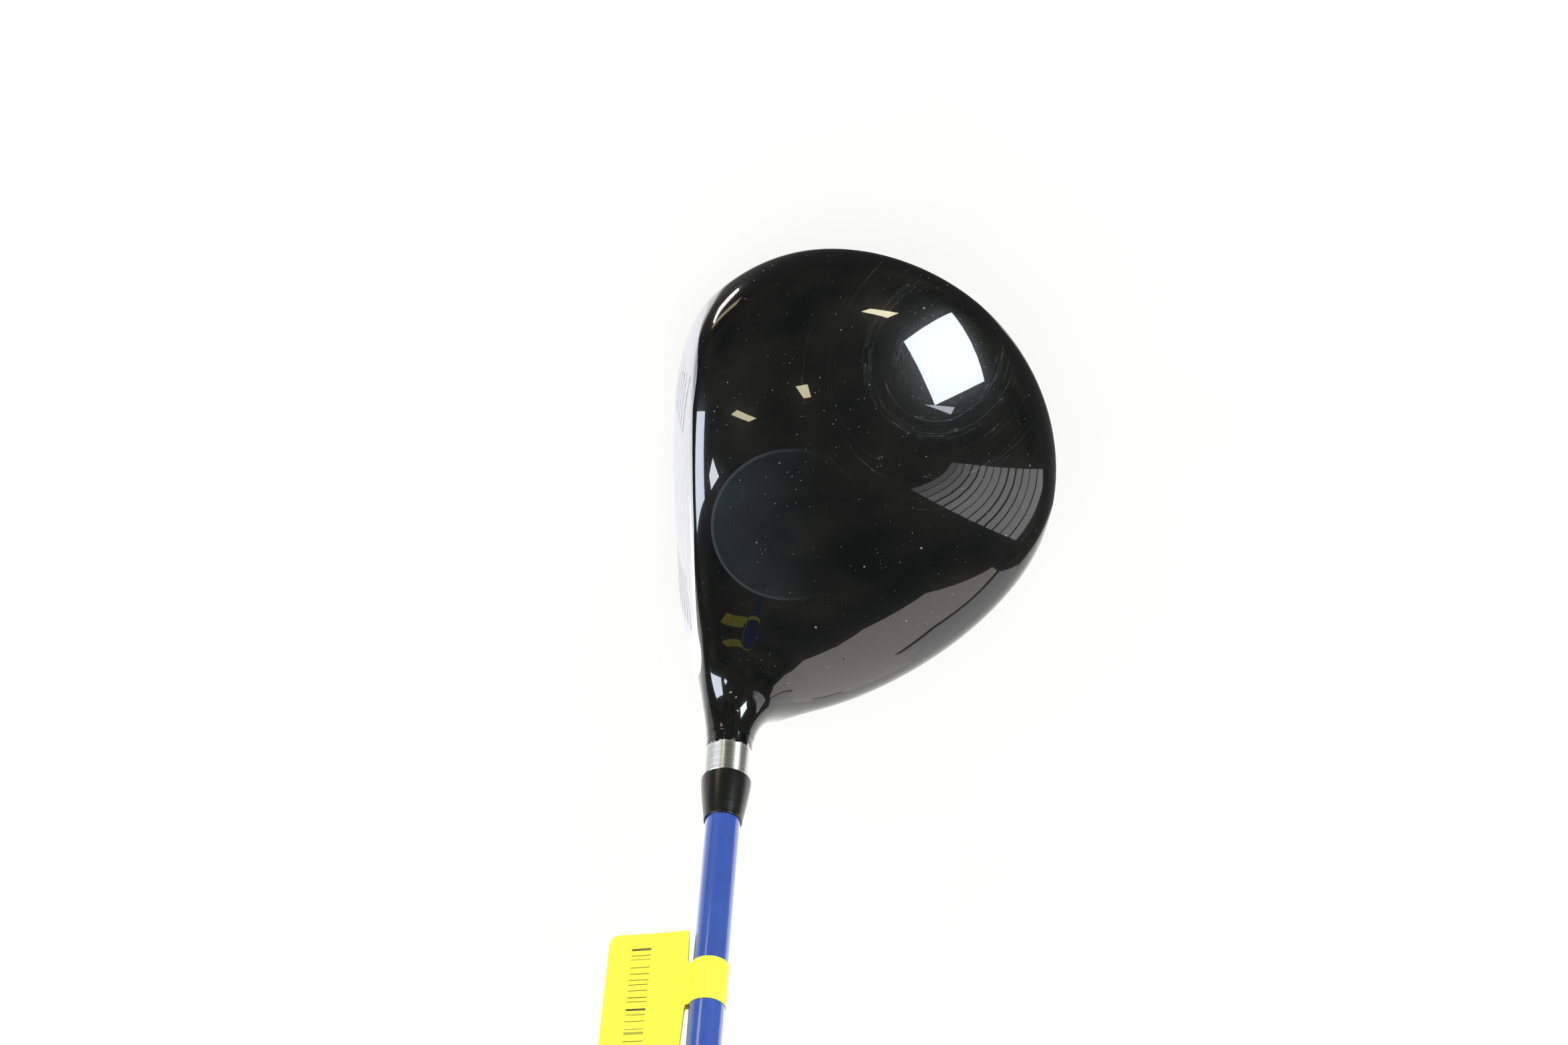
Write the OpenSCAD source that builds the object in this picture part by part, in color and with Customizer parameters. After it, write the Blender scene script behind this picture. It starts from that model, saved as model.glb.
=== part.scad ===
// Golf driver, right-handed, with a bonded shaft and a swing-weight screw in the sole.
// The sole rests on the ground at the origin. The face looks along -Y, the toe along -X,
// and the shaft rises towards +X. Lengths are in millimetres and angles in degrees.

/* [Club] */
// Length along the shaft, from the ground to the end of the grip
club_length = 1143; // [1092:1:1168]
// Angle between the shaft and the ground
lie = 58; // [57:0.5:59]
// Backward tilt of the face
loft = 10; // [9:0.5:12]

/* [Head outline from above] */
// Half the length of the outline's oval, heel to toe
outline_a = 71.5; // [70:0.5:73]
// Half the depth of the outline's oval, face to back
outline_b = 58.7; // [57:0.1:60]
// Where the oval starts to be drawn out towards the heel
outline_x = 3; // [0:0.5:6]
// Middle of the oval, face to back
outline_y = 4.5; // [3:0.5:6]
// Softness of that drawing out
outline_blend = 20; // [16:1:24]
// Radius of the long arc along the heel and back
heel_arc_r = 145.7; // [144:0.1:147]
// Centre of the heel arc, heel to toe
heel_arc_x = -77.6; // [-79:0.1:-76]
// Centre of the heel arc, face to back
heel_arc_y = -49.6; // [-51:0.1:-48]
// Softness where the oval meets the heel arc
heel_blend = 13.8; // [12:0.1:16]

/* [Crown, sole and face] */
// Height of the crown above the ground
crown_top = 60; // [58:0.5:61]
// Place of the crown's top, heel to toe
crown_x = 5; // [3:0.5:7]
// Place of the crown's top, face to back
crown_y = -22; // [-24:0.5:-20]
// Radius of the crown, heel to toe
crown_rx = 90; // [86:1:95]
// Radius of the crown, face to back
crown_ry = 115; // [110:1:120]
// Radius of the sole, heel to toe
sole_rx = 100; // [95:1:105]
// Radius of the sole, face to back
sole_ry = 130; // [125:1:135]
// Lowest place of the sole, face to back
sole_y = -5; // [-6:0.5:-4]
// How far the wear plate holds the sole off the ground
sole_low = 0.3; // [0.2:0.1:0.5]
// Face to back place of the face's middle
face_y = -41.75; // [-42.5:0.25:-41]
// Heel to toe place of the face's middle
face_x = -1.4; // [-3:0.1:0]
// Height of the face's middle
face_z = 29; // [28:0.5:30]
// Horizontal radius of the face
bulge = 260; // [250:5:305]
// Vertical radius of the face
roll = 300; // [280:5:330]
// Heel to toe place where the face starts to sweep back towards the neck
sweep_x = 29; // [28:0.5:31]
// Radius of that sweep
sweep_r = 44; // [42:1:50]
// Softness of the skirt's edges
rim_blend = 5.6; // [5:0.1:6.5]
// Softness where the crown runs into the sole
sole_blend = 4; // [3:0.5:5]
// Softness of the edge round the face
face_blend = 3; // [2:0.5:4]

/* [Neck and ring] */
// Heel to toe place where the neck's paint ends
ring_x = 60.3; // [59.5:0.1:61]
// Height where the neck's paint ends
ring_z = 62; // [61:0.5:63]
// Face to back place of the shaft
axis_y = -25; // [-26:0.5:-24]
// Radius of the neck and of the bare ring
neck_r = 6.25; // [6.1:0.05:6.5]
// How fast the neck widens towards the head, as radius over depth squared
neck_flare = 0.001; // [0:0.0005:0.002]
// Size of the fillet where the neck runs into the head
neck_fillet = 16.5; // [15:0.5:18]
// Size of that fillet level with the ring
neck_fillet_top = 3.3; // [3:0.1:4]
// Depth over which the fillet grows to its full size
neck_reach = 4.6; // [4:0.2:6]
// Length of the bare metal ring
ring_length = 8.6; // [8:0.1:9.5]

/* [Walls] */
// Thickness of the crown
crown_wall = 1; // [0.8:0.1:1.2]
// Thickness of the sole
sole_wall = 1.5; // [1.3:0.1:1.7]
// Thickness of the skirt
skirt_wall = 1.2; // [1:0.1:1.4]
// Thickness of the face plate
face_wall = 3; // [2.6:0.1:3.2]
// Thickness of the neck
neck_wall = 0.8; // [0.75:0.05:0.85]
// Gap left at each joint between two pieces
gap = 0.04; // [0.03:0.01:0.06]

/* [Crown and face joints] */
// Depth of the joint round the crown, below the crown's surface
crown_drop = 8; // [7:0.5:9]
// Depth of the painted frame between the face plate and the crown
frame_depth = 9; // [8:0.5:10]
// Radius round the shaft that stays with the body
neck_zone_r = 17; // [16:0.5:18]
// Half the length of the face plate, heel to toe
plate_a = 48.4; // [48:0.2:49]
// How much further back the plate reaches where it wraps round the toe
toe_wrap = 5; // [4.5:0.25:5.5]
// Half the height of the face plate's oval
plate_b = 42; // [40:1:44]
// Number of score lines from bottom to top
score_count = 9; // [7:1:9]
// Height between two score lines
score_pitch = 4.2; // [4:0.1:4.4]
// Width of a score line
score_width = 0.8; // [0.6:0.1:0.9]
// Depth of a score line
score_depth = 0.35; // [0.25:0.05:0.45]
// Half the width of the face's bare middle
score_clear = 19; // [17:1:21]
// Distance from the middle to a score line's outer end
score_end = 34; // [32:1:36]

/* [Sole plate and swing weight] */
// Radius of the flat wear plate
rest_r = 15; // [14:0.5:16]
// Thickness of the wear plate
rest_t = 2; // [1.8:0.1:2.2]
// Face to back place of the weight port
port_y = 36; // [34:0.5:38]
// Outer radius of the port's boss
port_r = 8; // [7.8:0.1:8.5]
// Depth of the boss into the head
port_depth = 16; // [15.5:0.5:17]
// Radius of the screw's head
screw_head_r = 6.4; // [6.2:0.1:6.4]
// Height of the screw's head
screw_head_h = 3.6; // [3.4:0.1:3.8]
// Radius of the screw's thread
screw_r = 4; // [3.8:0.1:4]
// Length of the screw's thread
screw_length = 8; // [7.5:0.5:8.5]

/* [Shaft, ferrule and grip] */
// Radius of the shaft's parallel tip
tip_r = 4.445; // [4.4:0.005:4.5]
// Radius of the shaft at the butt end
butt_r = 7.62; // [7.5:0.01:7.7]
// Length of the parallel part above the ring
parallel_length = 150; // [140:5:160]
// Depth of the shaft inside the head
insertion = 36; // [34:0.5:37]
// Length of the ferrule
ferrule_length = 12.4; // [12:0.1:13]
// Radius of the ferrule where it sits on the ring
ferrule_r = 6.4; // [6.3:0.05:6.5]
// Radius of the ferrule's thin end
ferrule_end_r = 4.8; // [4.7:0.05:4.9]
// Length of the grip
grip_length = 267; // [260:1:275]
// Radius of the grip at the butt end
grip_butt_r = 13.2; // [13:0.1:13.5]
// Rubber thickness at the grip's mouth
grip_mouth_wall = 1.6; // [1.5:0.1:2]
// Radius of the vent hole in the grip's cap
vent_r = 1.4; // [1.2:0.1:1.6]

/* [Paper tag] */
// Distance from the ferrule to the tag's band
band_start = 42.6; // [40:0.1:46]
// Width of the band along the shaft
band_width = 12; // [11:0.5:13]
// Length of the flag along the shaft
flag_length = 35; // [33:1:36]
// How far the flag's middle lies past the band's middle
flag_shift = 1.4; // [1:0.1:2]
// Width of the flag across the shaft
flag_width = 19.4; // [18:0.2:21]
// Distance from the shaft's middle to the flag
flag_offset = 5.9; // [5.8:0.1:6.5]
// Radius of the flag's corners
flag_corner = 2.5; // [2:0.1:3]
// Thickness of the glued paper
paper = 0.3; // [0.25:0.05:0.4]

/* [Hidden] */

// Facets round the outer skin, along it from toe to neck, and over the toe's cap
skin_mesh = [52, 20, 9];
// The same for the inner skin, which is never seen
core_mesh = [36, 15, 6];
// Facets of round cutters inside the shells
cutter_fn = 48;
// Facets of true cylinders, which are exact at any count
round_fn = 96;
// Slack that carries a cutter past the surface it cuts
past = 1;

shaft_dir = [cos(lie), 0, sin(lie)];
ring_centre = [ring_x, axis_y, ring_z];
// Distances along the shaft are counted from where the neck's paint ends
ferrule_start = ring_length + gap;
shaft_start = -insertion;
club_end = club_length - ring_z / sin(lie);
cap_thickness = 4;
shaft_end = club_end - cap_thickness - gap;
grip_start = club_end - grip_length;
band_from = ring_length + ferrule_length + band_start;
shaft_taper = (butt_r - tip_r) / (shaft_end - parallel_length);

// The tube is thinner inside the neck, and its bore leaves room for the epoxy
tube_r = 5.5;
bore_r = tip_r + 0.135;
plug_length = 2;
tube_start = shaft_start - plug_length - 0.2;
shaft_tip_wall = 2.1;
shaft_butt_wall = 1.2;

// The port's boss leans with the sole, and everything in it is measured from its mouth
port_tilt = atan((port_y - sole_y) / sole_ry);
port_z = sole_height(0, port_y) + 0.1;
head_pocket_r = screw_head_r + 0.15;
head_pocket_depth = 5;
seal_t = 0.8;
thread_gap = 0.04;
screw_top = -head_pocket_depth + seal_t + 2 * thread_gap;
thread_runout = 1.2;
thread_depth = head_pocket_depth + screw_length + thread_runout;
socket_depth = 2.4;
core_r = 2.5;
core_length = 6.4;

function fade(t) = let (c = max(0, min(1, t))) c * c * (3 - 2 * c);
function soft_max(a, b, k) = (a + b + sqrt((a - b) ^ 2 + k ^ 2)) / 2;
function soft_min(a, b, k) = (a + b - sqrt((a - b) ^ 2 + k ^ 2)) / 2;
// Soft only where the two are closer than k, and exact everywhere else
function fillet_min(a, b, k) = min(a, b) - max(0, k - abs(a - b)) ^ 2 / (4 * k);
function unit(v) = v / norm(v);
function along_shaft(s) = ring_centre + s * shaft_dir;
function shaft_r(s) = tip_r + max(0, s - parallel_length) * shaft_taper;

function crown_height(x, y) =
    crown_top - (x - crown_x) ^ 2 / (2 * crown_rx) - (y - crown_y) ^ 2 / (2 * crown_ry);
function sole_height(x, y) =
    sole_low + x ^ 2 / (2 * sole_rx) + (y - sole_y) ^ 2 / (2 * sole_ry);
function face_front(x, z) =
    face_y + (z - face_z) * tan(loft) + (x - face_x) ^ 2 / (2 * bulge)
    + (z - face_z) ^ 2 / (2 * roll) + max(0, x - sweep_x) ^ 2 / (2 * sweep_r);

// How far a place lies outside the head's outline from above: an oval drawn out
// towards the heel, cut by the long arc of the heel and back
function outline_gap(x, y) =
    let (
        u = soft_min(x - outline_x, 0, outline_blend),
        oval = (norm([u / outline_a, (y - outline_y) / outline_b]) - 1) * outline_b,
        heel = norm([x - heel_arc_x, y - heel_arc_y]) - heel_arc_r
    )
    soft_max(oval, heel, heel_blend);

// How far a point lies outside the head, below zero inside it. The walls are the
// thicknesses taken off the crown, sole, skirt, face and neck.
function head_gap(p, walls) =
    let (
        crown = (p.z - crown_height(p.x, p.y)) * 0.9 + walls[0],
        sole = sole_height(p.x, p.y) - p.z + walls[1],
        skirt = outline_gap(p.x, p.y) + walls[2],
        face = (face_front(p.x, p.z) - p.y) * cos(loft) + walls[3],
        shells = soft_max(soft_max(crown, sole, sole_blend), face, face_blend),
        body = soft_max(shells, skirt, rim_blend),
        s = (p - ring_centre) * shaft_dir,
        r = norm(p - along_shaft(s)),
        tube = r - neck_r - neck_flare * max(0, -s) ^ 2 + walls[4],
        neck = soft_max(tube, -s - 50, 6)
    )
    fillet_min(
        body, neck, neck_fillet_top + (neck_fillet - neck_fillet_top) * fade(-s / neck_reach)
    );

// A curve inside the head, from behind the toe to the neck's end along the shaft
spine_toe = [-12, 4, 30];
spine_bend = along_shaft((spine_toe.z + 4 - ring_z) / sin(lie));
function spine_point(t) =
    (1 - t) ^ 2 * spine_toe + 2 * t * (1 - t) * spine_bend + t ^ 2 * ring_centre;
function spine_dir(t) =
    unit((1 - t) * (spine_bend - spine_toe) + t * (ring_centre - spine_bend));
function plane_dir(t) =
    let (w = fade(2 * t)) unit((1 - w) * [1, 0, 0] + w * spine_dir(t));

// A ray of the skin: its start and its direction, for a row from the toe and a turn
function ray(row, turn, mesh) =
    let (
        t = max(0, row - mesh[2]) / mesh[1],
        lean = min(90, 90 * row / mesh[2]),
        n = plane_dir(t),
        down = unit(cross([0, 1, 0], n)),
        back = cross(n, down),
        out = cos(turn) * down + sin(turn) * back
    )
    [spine_point(t), sin(lean) * out - cos(lean) * n];

// Distance along a ray to the skin: stepped out to just past it, then halved
step = 6;
function refine(ray, walls, low, high, n) =
    let (mid = (low + high) / 2)
    n == 0 ? mid
    : head_gap(ray[0] + mid * ray[1], walls) > 0 ? refine(ray, walls, low, mid, n - 1)
    : refine(ray, walls, mid, high, n - 1);
function reach(ray, walls, d = step) =
    head_gap(ray[0] + d * ray[1], walls) > 0 ? refine(ray, walls, d - step, d, 10)
    : reach(ray, walls, d + step);
function skin_point(row, turn, walls, mesh) =
    let (r = ray(row, turn, mesh)) r[0] + reach(r, walls) * r[1];

// Joins or cuts curved shells as one closed mesh, and changes no size
module as_mesh() { resize([0, 0, 0]) children(); }

// The head's solid form, with the given walls taken off its outside
module head_solid(walls = [0, 0, 0, 0, 0], mesh = skin_mesh) {
    cols = mesh[0];
    rows = mesh[1] + mesh[2];
    last = 1 + rows * cols;
    at = function(row, col) 1 + (row - 1) * cols + col % cols;
    polyhedron(
        points = concat(
            [skin_point(0, 0, walls, mesh)],
            [
                for (row = [1:rows]) for (col = [0:cols - 1])
                    skin_point(row, 360 * col / cols, walls, mesh)
            ],
            [ring_centre]
        ),
        faces = concat(
            [for (col = [0:cols - 1]) [0, at(1, col), at(1, col + 1)]],
            [
                for (row = [1:rows - 1]) for (col = [0:cols - 1]) each [
                    [at(row, col + 1), at(row, col), at(row + 1, col)],
                    [at(row, col + 1), at(row + 1, col), at(row + 1, col + 1)]
                ]
            ],
            [for (col = [0:cols - 1]) [last, at(rows, col + 1), at(rows, col)]]
        )
    );
}

// The space inside the shells, with extra wall added all round or on one side
module hollow(extra = 0, sole_extra = 0, skirt_extra = 0) {
    walls = [
        crown_wall, sole_wall + sole_extra, skirt_wall + skirt_extra, face_wall + 0.1, neck_wall
    ];
    head_solid([for (w = walls) w + extra], core_mesh);
}

// A block with a flat top that reaches down to the surface h(x, y)
module above(h, low, high, top, n = 16) {
    at = function(i, j) i * (n + 1) + j;
    corner = (n + 1) ^ 2;
    side = [for (i = [0:n]) i];
    back = [for (i = [0:n]) n - i];
    span = high - low;
    polyhedron(
        points = concat(
            [
                for (i = side) for (j = side)
                    let (x = low.x + span.x * i / n, y = low.y + span.y * j / n) [x, y, h(x, y)]
            ],
            [[low.x, low.y, top], [high.x, low.y, top], [high.x, high.y, top], [low.x, high.y, top]]
        ),
        faces = concat(
            [
                for (i = [0:n - 1]) for (j = [0:n - 1]) each [
                    [at(i, j), at(i + 1, j), at(i + 1, j + 1)],
                    [at(i, j), at(i + 1, j + 1), at(i, j + 1)]
                ]
            ],
            [[corner, corner + 3, corner + 2, corner + 1]],
            [concat([for (i = back) at(i, 0)], [corner, corner + 1])],
            [concat([for (j = back) at(n, j)], [corner + 1, corner + 2])],
            [concat([for (i = side) at(i, n)], [corner + 2, corner + 3])],
            [concat([for (j = side) at(0, j)], [corner + 3, corner])]
        )
    );
}

// Everything above the crown's joint, raised by lift
module above_seam(lift = 0) {
    above(
        function(x, y) crown_height(x, y) - crown_drop + lift,
        low = [-85, -65], high = [85, 75], top = 120
    );
}

// Everything in front of a surface that lies the given depth behind the face, and
// further behind it towards the toe by the wrap
module ahead_of_face(depth, wrap = 0) {
    back = function(x) (depth + wrap * max(0, (face_x - x) / plate_a) ^ 4) / cos(loft);
    rotate([90, 0, 0])
        above(
            function(x, z) -face_front(x, z) - back(x),
            low = [-85, -20], high = [85, 85], top = 120
        );
}

module on_shaft(s = 0) {
    translate(along_shaft(s))
        rotate([0, 90 - lie, 0])
            children();
}

// A tube between two places on the shaft
module sleeve(from, to, inner, outer) {
    on_shaft(from) difference() {
        cylinder(h = to - from, r = outer, $fn = round_fn);
        translate([0, 0, -past]) cylinder(h = to - from + 2 * past, r = inner, $fn = round_fn);
    }
}

// A solid turned about the shaft from [radius, distance] points
module turned(points) {
    on_shaft() rotate_extrude($fn = round_fn) polygon(points);
}

module neck_column(r, from, to) {
    on_shaft(from) cylinder(h = to - from, r = r, $fn = cutter_fn);
}

// The part of the shell that the crown takes, smaller all round by the margin
module crown_zone(margin = 0) {
    difference() {
        above_seam(margin);
        ahead_of_face(frame_depth + margin);
        neck_column(neck_zone_r + margin, -60, 20);
    }
}

// The part of the head that the face plate takes, grown by the margin
module plate_zone(margin = 0) {
    intersection() {
        ahead_of_face(face_wall + margin, toe_wrap);
        translate([face_x - 2, 0, face_z])
            rotate([90, 0, 0])
                linear_extrude(100)
                    scale([plate_a + margin, plate_b + margin])
                        circle(r = 1, $fn = 72);
    }
}

module shell() {
    difference() {
        head_solid();
        hollow();
    }
}

// Local +Z points out of the port's mouth
module at_port(z = 0) {
    translate([0, port_y, port_z])
        rotate([180 + port_tilt, 0, 0])
            translate([0, 0, z])
                children();
}

module crown() {
    color([0.03, 0.03, 0.035]) as_mesh() intersection() {
        shell();
        crown_zone();
    }
}

module body() {
    color([0.03, 0.03, 0.035]) as_mesh() difference() {
        union() {
            shell();
            intersection() {
                head_solid();
                cylinder(h = rest_t + 2.2, r = rest_r + 2.5, $fn = cutter_fn);
            }
        }
        crown_zone(-gap);
        plate_zone(gap);
        neck_column(tube_r + gap, -16, past);
        neck_column(neck_r + 3, -gap, past);
        translate([0, 0, -past]) cylinder(h = rest_t + gap + past, r = rest_r + gap, $fn = cutter_fn);
        at_port(-12) cylinder(h = 20, r = port_r + gap, $fn = cutter_fn);
    }
}

// Score lines keep their depth, because they follow the face's own curve
module score_lines() {
    intersection() {
        ahead_of_face(score_depth);
        for (k = [0:score_count - 1])
            for (side = [-1, 1]) {
                middle = side * (score_clear + score_end) / 2 + face_x;
                height = face_z + (k - (score_count - 1) / 2) * score_pitch;
                translate([middle, face_y, height])
                    cube([score_end - score_clear, 30, score_width], center = true);
            }
    }
}

module face_plate() {
    color([0.8, 0.8, 0.84]) as_mesh() difference() {
        intersection() {
            head_solid();
            plate_zone();
        }
        score_lines();
    }
}

// The bead runs round the skirt, inside the crown's joint
module crown_bond() {
    bead = 1.4;
    color([0.75, 0.7, 0.55]) as_mesh() difference() {
        intersection() {
            hollow(extra = gap);
            above_seam(-bead);
        }
        above_seam(bead);
        hollow(extra = gap, skirt_extra = bead);
        ahead_of_face(frame_depth + 6);
        neck_column(neck_zone_r + 4, -60, 0);
    }
}

// A pad cast on the inside of the sole
module sole_pad(x, y, r, thickness) {
    top = sole_height(x, y) + sole_wall + 2 * thickness;
    difference() {
        intersection() {
            hollow(extra = gap);
            translate([x, y, 0]) cylinder(h = top, r = r, $fn = 32);
        }
        hollow(sole_extra = thickness);
    }
}

module toe_weight() {
    color([0.45, 0.45, 0.47]) as_mesh() sole_pad(-38, -6, 11, 4);
}

module heel_weight() {
    color([0.45, 0.45, 0.47]) as_mesh() sole_pad(34, 12, 10, 3.5);
}

// A flat drop of glue, so it is the cap of a ball that dips below the inside of the sole
module rattle_glue() {
    place = [-24, 22];
    height = 2.5;
    ball_r = 15;
    ball_z = sole_height(place.x, place.y) + sole_wall + height - ball_r;
    color([0.85, 0.75, 0.4]) as_mesh() intersection() {
        hollow(extra = gap);
        translate([place.x, place.y, ball_z]) sphere(r = ball_r, $fn = 40);
    }
}

// Flat below, with a small chamfer, so that the club rests on it
module sole_plate() {
    chamfer = 0.4;
    color([0.62, 0.62, 0.64]) {
        cylinder(h = chamfer, r1 = rest_r - chamfer, r2 = rest_r, $fn = round_fn);
        translate([0, 0, chamfer]) cylinder(h = rest_t - chamfer, r = rest_r, $fn = round_fn);
    }
}

module weight_port() {
    pocket = head_pocket_depth;
    color([0.55, 0.55, 0.57]) difference() {
        at_port(-port_depth) cylinder(h = port_depth, r = port_r, $fn = round_fn);
        at_port(-pocket) cylinder(h = pocket + past, r = head_pocket_r, $fn = round_fn);
        at_port(-thread_depth) cylinder(h = thread_depth, r = screw_r + thread_gap, $fn = round_fn);
    }
}

module weight_seal() {
    pocket = head_pocket_depth;
    color([0.08, 0.08, 0.08]) difference() {
        at_port(thread_gap - pocket) cylinder(h = seal_t, r = screw_head_r - 0.2, $fn = round_fn);
        at_port(-pocket - past) cylinder(h = 3 * past, r = screw_r + 0.05, $fn = round_fn);
    }
}

// A six-lobed drive in the head, and a pocket for the heavy core in the thread's end
module weight_screw() {
    lobe_r = 0.75;
    drive_r = 2.1;
    bottom = screw_top - screw_length;
    color([0.75, 0.75, 0.77]) difference() {
        union() {
            at_port(screw_top) cylinder(h = screw_head_h, r = screw_head_r, $fn = round_fn);
            at_port(bottom) cylinder(h = screw_length + past, r = screw_r, $fn = round_fn);
        }
        at_port(screw_top + screw_head_h - socket_depth) {
            cylinder(h = socket_depth + past, r = drive_r, $fn = round_fn);
            for (k = [0:5])
                rotate([0, 0, 60 * k])
                    translate([drive_r, 0, 0])
                        cylinder(h = socket_depth + past, r = lobe_r, $fn = round_fn);
        }
        at_port(screw_top - screw_length - past)
            cylinder(h = core_length + past + gap, r = core_r + gap, $fn = round_fn);
    }
}

module weight_core() {
    color([0.35, 0.35, 0.37])
        at_port(screw_top - screw_length) cylinder(h = core_length, r = core_r, $fn = round_fn);
}

module hosel_tube() {
    color([0.72, 0.7, 0.66]) difference() {
        union() {
            on_shaft(tube_start) cylinder(h = ring_length - tube_start, r = tube_r, $fn = round_fn);
            on_shaft() cylinder(h = ring_length, r = neck_r, $fn = round_fn);
        }
        on_shaft(tube_start - past)
            cylinder(h = ring_length - tube_start + 2 * past, r = bore_r, $fn = round_fn);
    }
}

module hosel_plug() {
    color([0.2, 0.2, 0.2])
        on_shaft(tube_start) cylinder(h = plug_length, r = bore_r - 0.02, $fn = round_fn);
}

module shaft_epoxy() {
    color([0.8, 0.72, 0.5])
        sleeve(shaft_start, ring_length, tip_r + 0.01, bore_r - 0.01);
}

// A collar with a gentle swell, so its taper is a curve and not a straight cone
module ferrule() {
    steps = 10;
    swell = 1.35;
    outer = [
        for (k = [0:steps]) let (t = k / steps)
            [ferrule_r + (ferrule_end_r - ferrule_r) * t ^ swell, ferrule_start + ferrule_length * t]
    ];
    inner = [
        [tip_r + 0.02, ferrule_start + ferrule_length],
        [tip_r + 0.02, ferrule_start]
    ];
    color([0.02, 0.02, 0.02]) turned(concat(outer, inner));
}

module shaft() {
    color([0.2, 0.33, 0.72]) turned([
        [tip_r, shaft_start],
        [tip_r, parallel_length],
        [butt_r, shaft_end],
        [butt_r - shaft_butt_wall, shaft_end],
        [tip_r - shaft_tip_wall, parallel_length],
        [tip_r - shaft_tip_wall, shaft_start]
    ]);
}

module tip_plug() {
    color([0.9, 0.9, 0.85])
        on_shaft(shaft_start + 0.5)
            cylinder(h = 6, r = tip_r - shaft_tip_wall - 0.02, $fn = round_fn);
}

module grip_tape() {
    tape = 0.14;
    from = grip_start + 3;
    color([0.85, 0.82, 0.7]) turned([
        [shaft_r(from) + 0.02, from],
        [shaft_r(from) + tape, from],
        [butt_r + tape, shaft_end],
        [butt_r + 0.02, shaft_end]
    ]);
}

// Rubber sleeve with ring grooves near both ends
module grip() {
    liner = 0.16;
    steps = 8;
    mouth_r = shaft_r(grip_start) + grip_mouth_wall;
    grip_end = club_end - cap_thickness;
    outer = [
        for (k = [0:steps]) let (t = k / steps)
            [mouth_r + (grip_butt_r - mouth_r) * t ^ 1.15, grip_start + (grip_end - grip_start) * t]
    ];
    inner = [[butt_r + liner, grip_end], [shaft_r(grip_start) + liner, grip_start]];
    color([0.05, 0.05, 0.05]) difference() {
        turned(concat(outer, inner));
        for (k = [0:2]) {
            ring_groove(grip_start + 6 + 4 * k, mouth_r - 0.3);
            ring_groove(grip_end - 6 - 4 * k, grip_butt_r - 0.9);
        }
    }
}

// A groove down to the given radius, square in section
module ring_groove(s, floor_r) {
    sleeve(s - 0.6, s + 0.6, floor_r, floor_r + 5);
}

module grip_cap() {
    cap_r = 13.9;
    edge = 1.5;
    from = club_end - cap_thickness + gap;
    rounded = [
        for (k = [0:6]) let (a = 15 * k)
            [cap_r - edge + edge * cos(a), club_end - edge + edge * sin(a)]
    ];
    color([0.05, 0.05, 0.05])
        turned(concat([[vent_r, from], [cap_r, from]], rounded, [[vent_r, club_end]]));
}

// A band round the shaft and a flag beside it, cut from one piece of paper
module shaft_tag() {
    inner = tip_r + 0.03;
    middle = band_from + band_width / 2;
    color([0.95, 0.92, 0.1]) {
        difference() {
            union() {
                sleeve(band_from, band_from + band_width, inner, inner + paper);
                on_shaft(band_from)
                    translate([-paper / 2, -flag_offset - past, 0])
                        cube([paper, flag_offset + past - tip_r, band_width]);
            }
            on_shaft(band_from - past)
                cylinder(h = band_width + 2 * past, r = inner, $fn = round_fn);
        }
        on_shaft(middle + flag_shift) flag();
    }
}

module flag() {
    w = flag_width / 2 - flag_corner;
    l = flag_length / 2 - flag_corner;
    translate([-paper / 2, -flag_offset - flag_width / 2, 0])
        rotate([90, 0, 90])
            linear_extrude(paper) {
                square([2 * w, flag_length], center = true);
                square([flag_width, 2 * l], center = true);
                for (x = [-w, w])
                    for (y = [-l, l])
                        translate([x, y]) circle(r = flag_corner, $fn = 32);
            }
}

crown();
body();
face_plate();
crown_bond();
toe_weight();
heel_weight();
rattle_glue();
sole_plate();
weight_port();
weight_seal();
weight_screw();
weight_core();
hosel_tube();
hosel_plug();
shaft_epoxy();
ferrule();
shaft();
tip_plug();
grip_tape();
grip();
grip_cap();
shaft_tag();
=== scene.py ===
"""Golf driver: the visual pieces, materials, light and camera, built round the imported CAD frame.

Sizes are in millimetres and angles in degrees, in the frame of the CAD part: -X is the toe, +X
the heel, -Y the way the face looks and +Z up. Places on the club's shaft are distances counted
from where the neck's paint ends. Meshes are written in metres.
"""

import math

import bmesh
import bpy
import numpy as np
from mathutils import Matrix, Vector


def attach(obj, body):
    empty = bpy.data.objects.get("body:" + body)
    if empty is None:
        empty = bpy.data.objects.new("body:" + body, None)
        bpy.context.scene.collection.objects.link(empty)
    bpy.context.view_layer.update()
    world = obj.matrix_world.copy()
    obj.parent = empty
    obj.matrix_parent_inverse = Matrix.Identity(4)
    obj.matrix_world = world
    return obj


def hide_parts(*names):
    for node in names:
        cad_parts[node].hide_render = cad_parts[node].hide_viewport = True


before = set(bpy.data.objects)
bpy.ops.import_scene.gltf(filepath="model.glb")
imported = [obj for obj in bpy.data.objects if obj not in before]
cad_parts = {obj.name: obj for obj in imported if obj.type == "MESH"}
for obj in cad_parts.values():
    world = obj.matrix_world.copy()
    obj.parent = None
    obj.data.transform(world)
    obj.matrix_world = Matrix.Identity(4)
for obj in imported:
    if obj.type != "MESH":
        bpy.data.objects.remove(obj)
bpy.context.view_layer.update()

MM = 0.001

# ---- driving sizes

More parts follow.
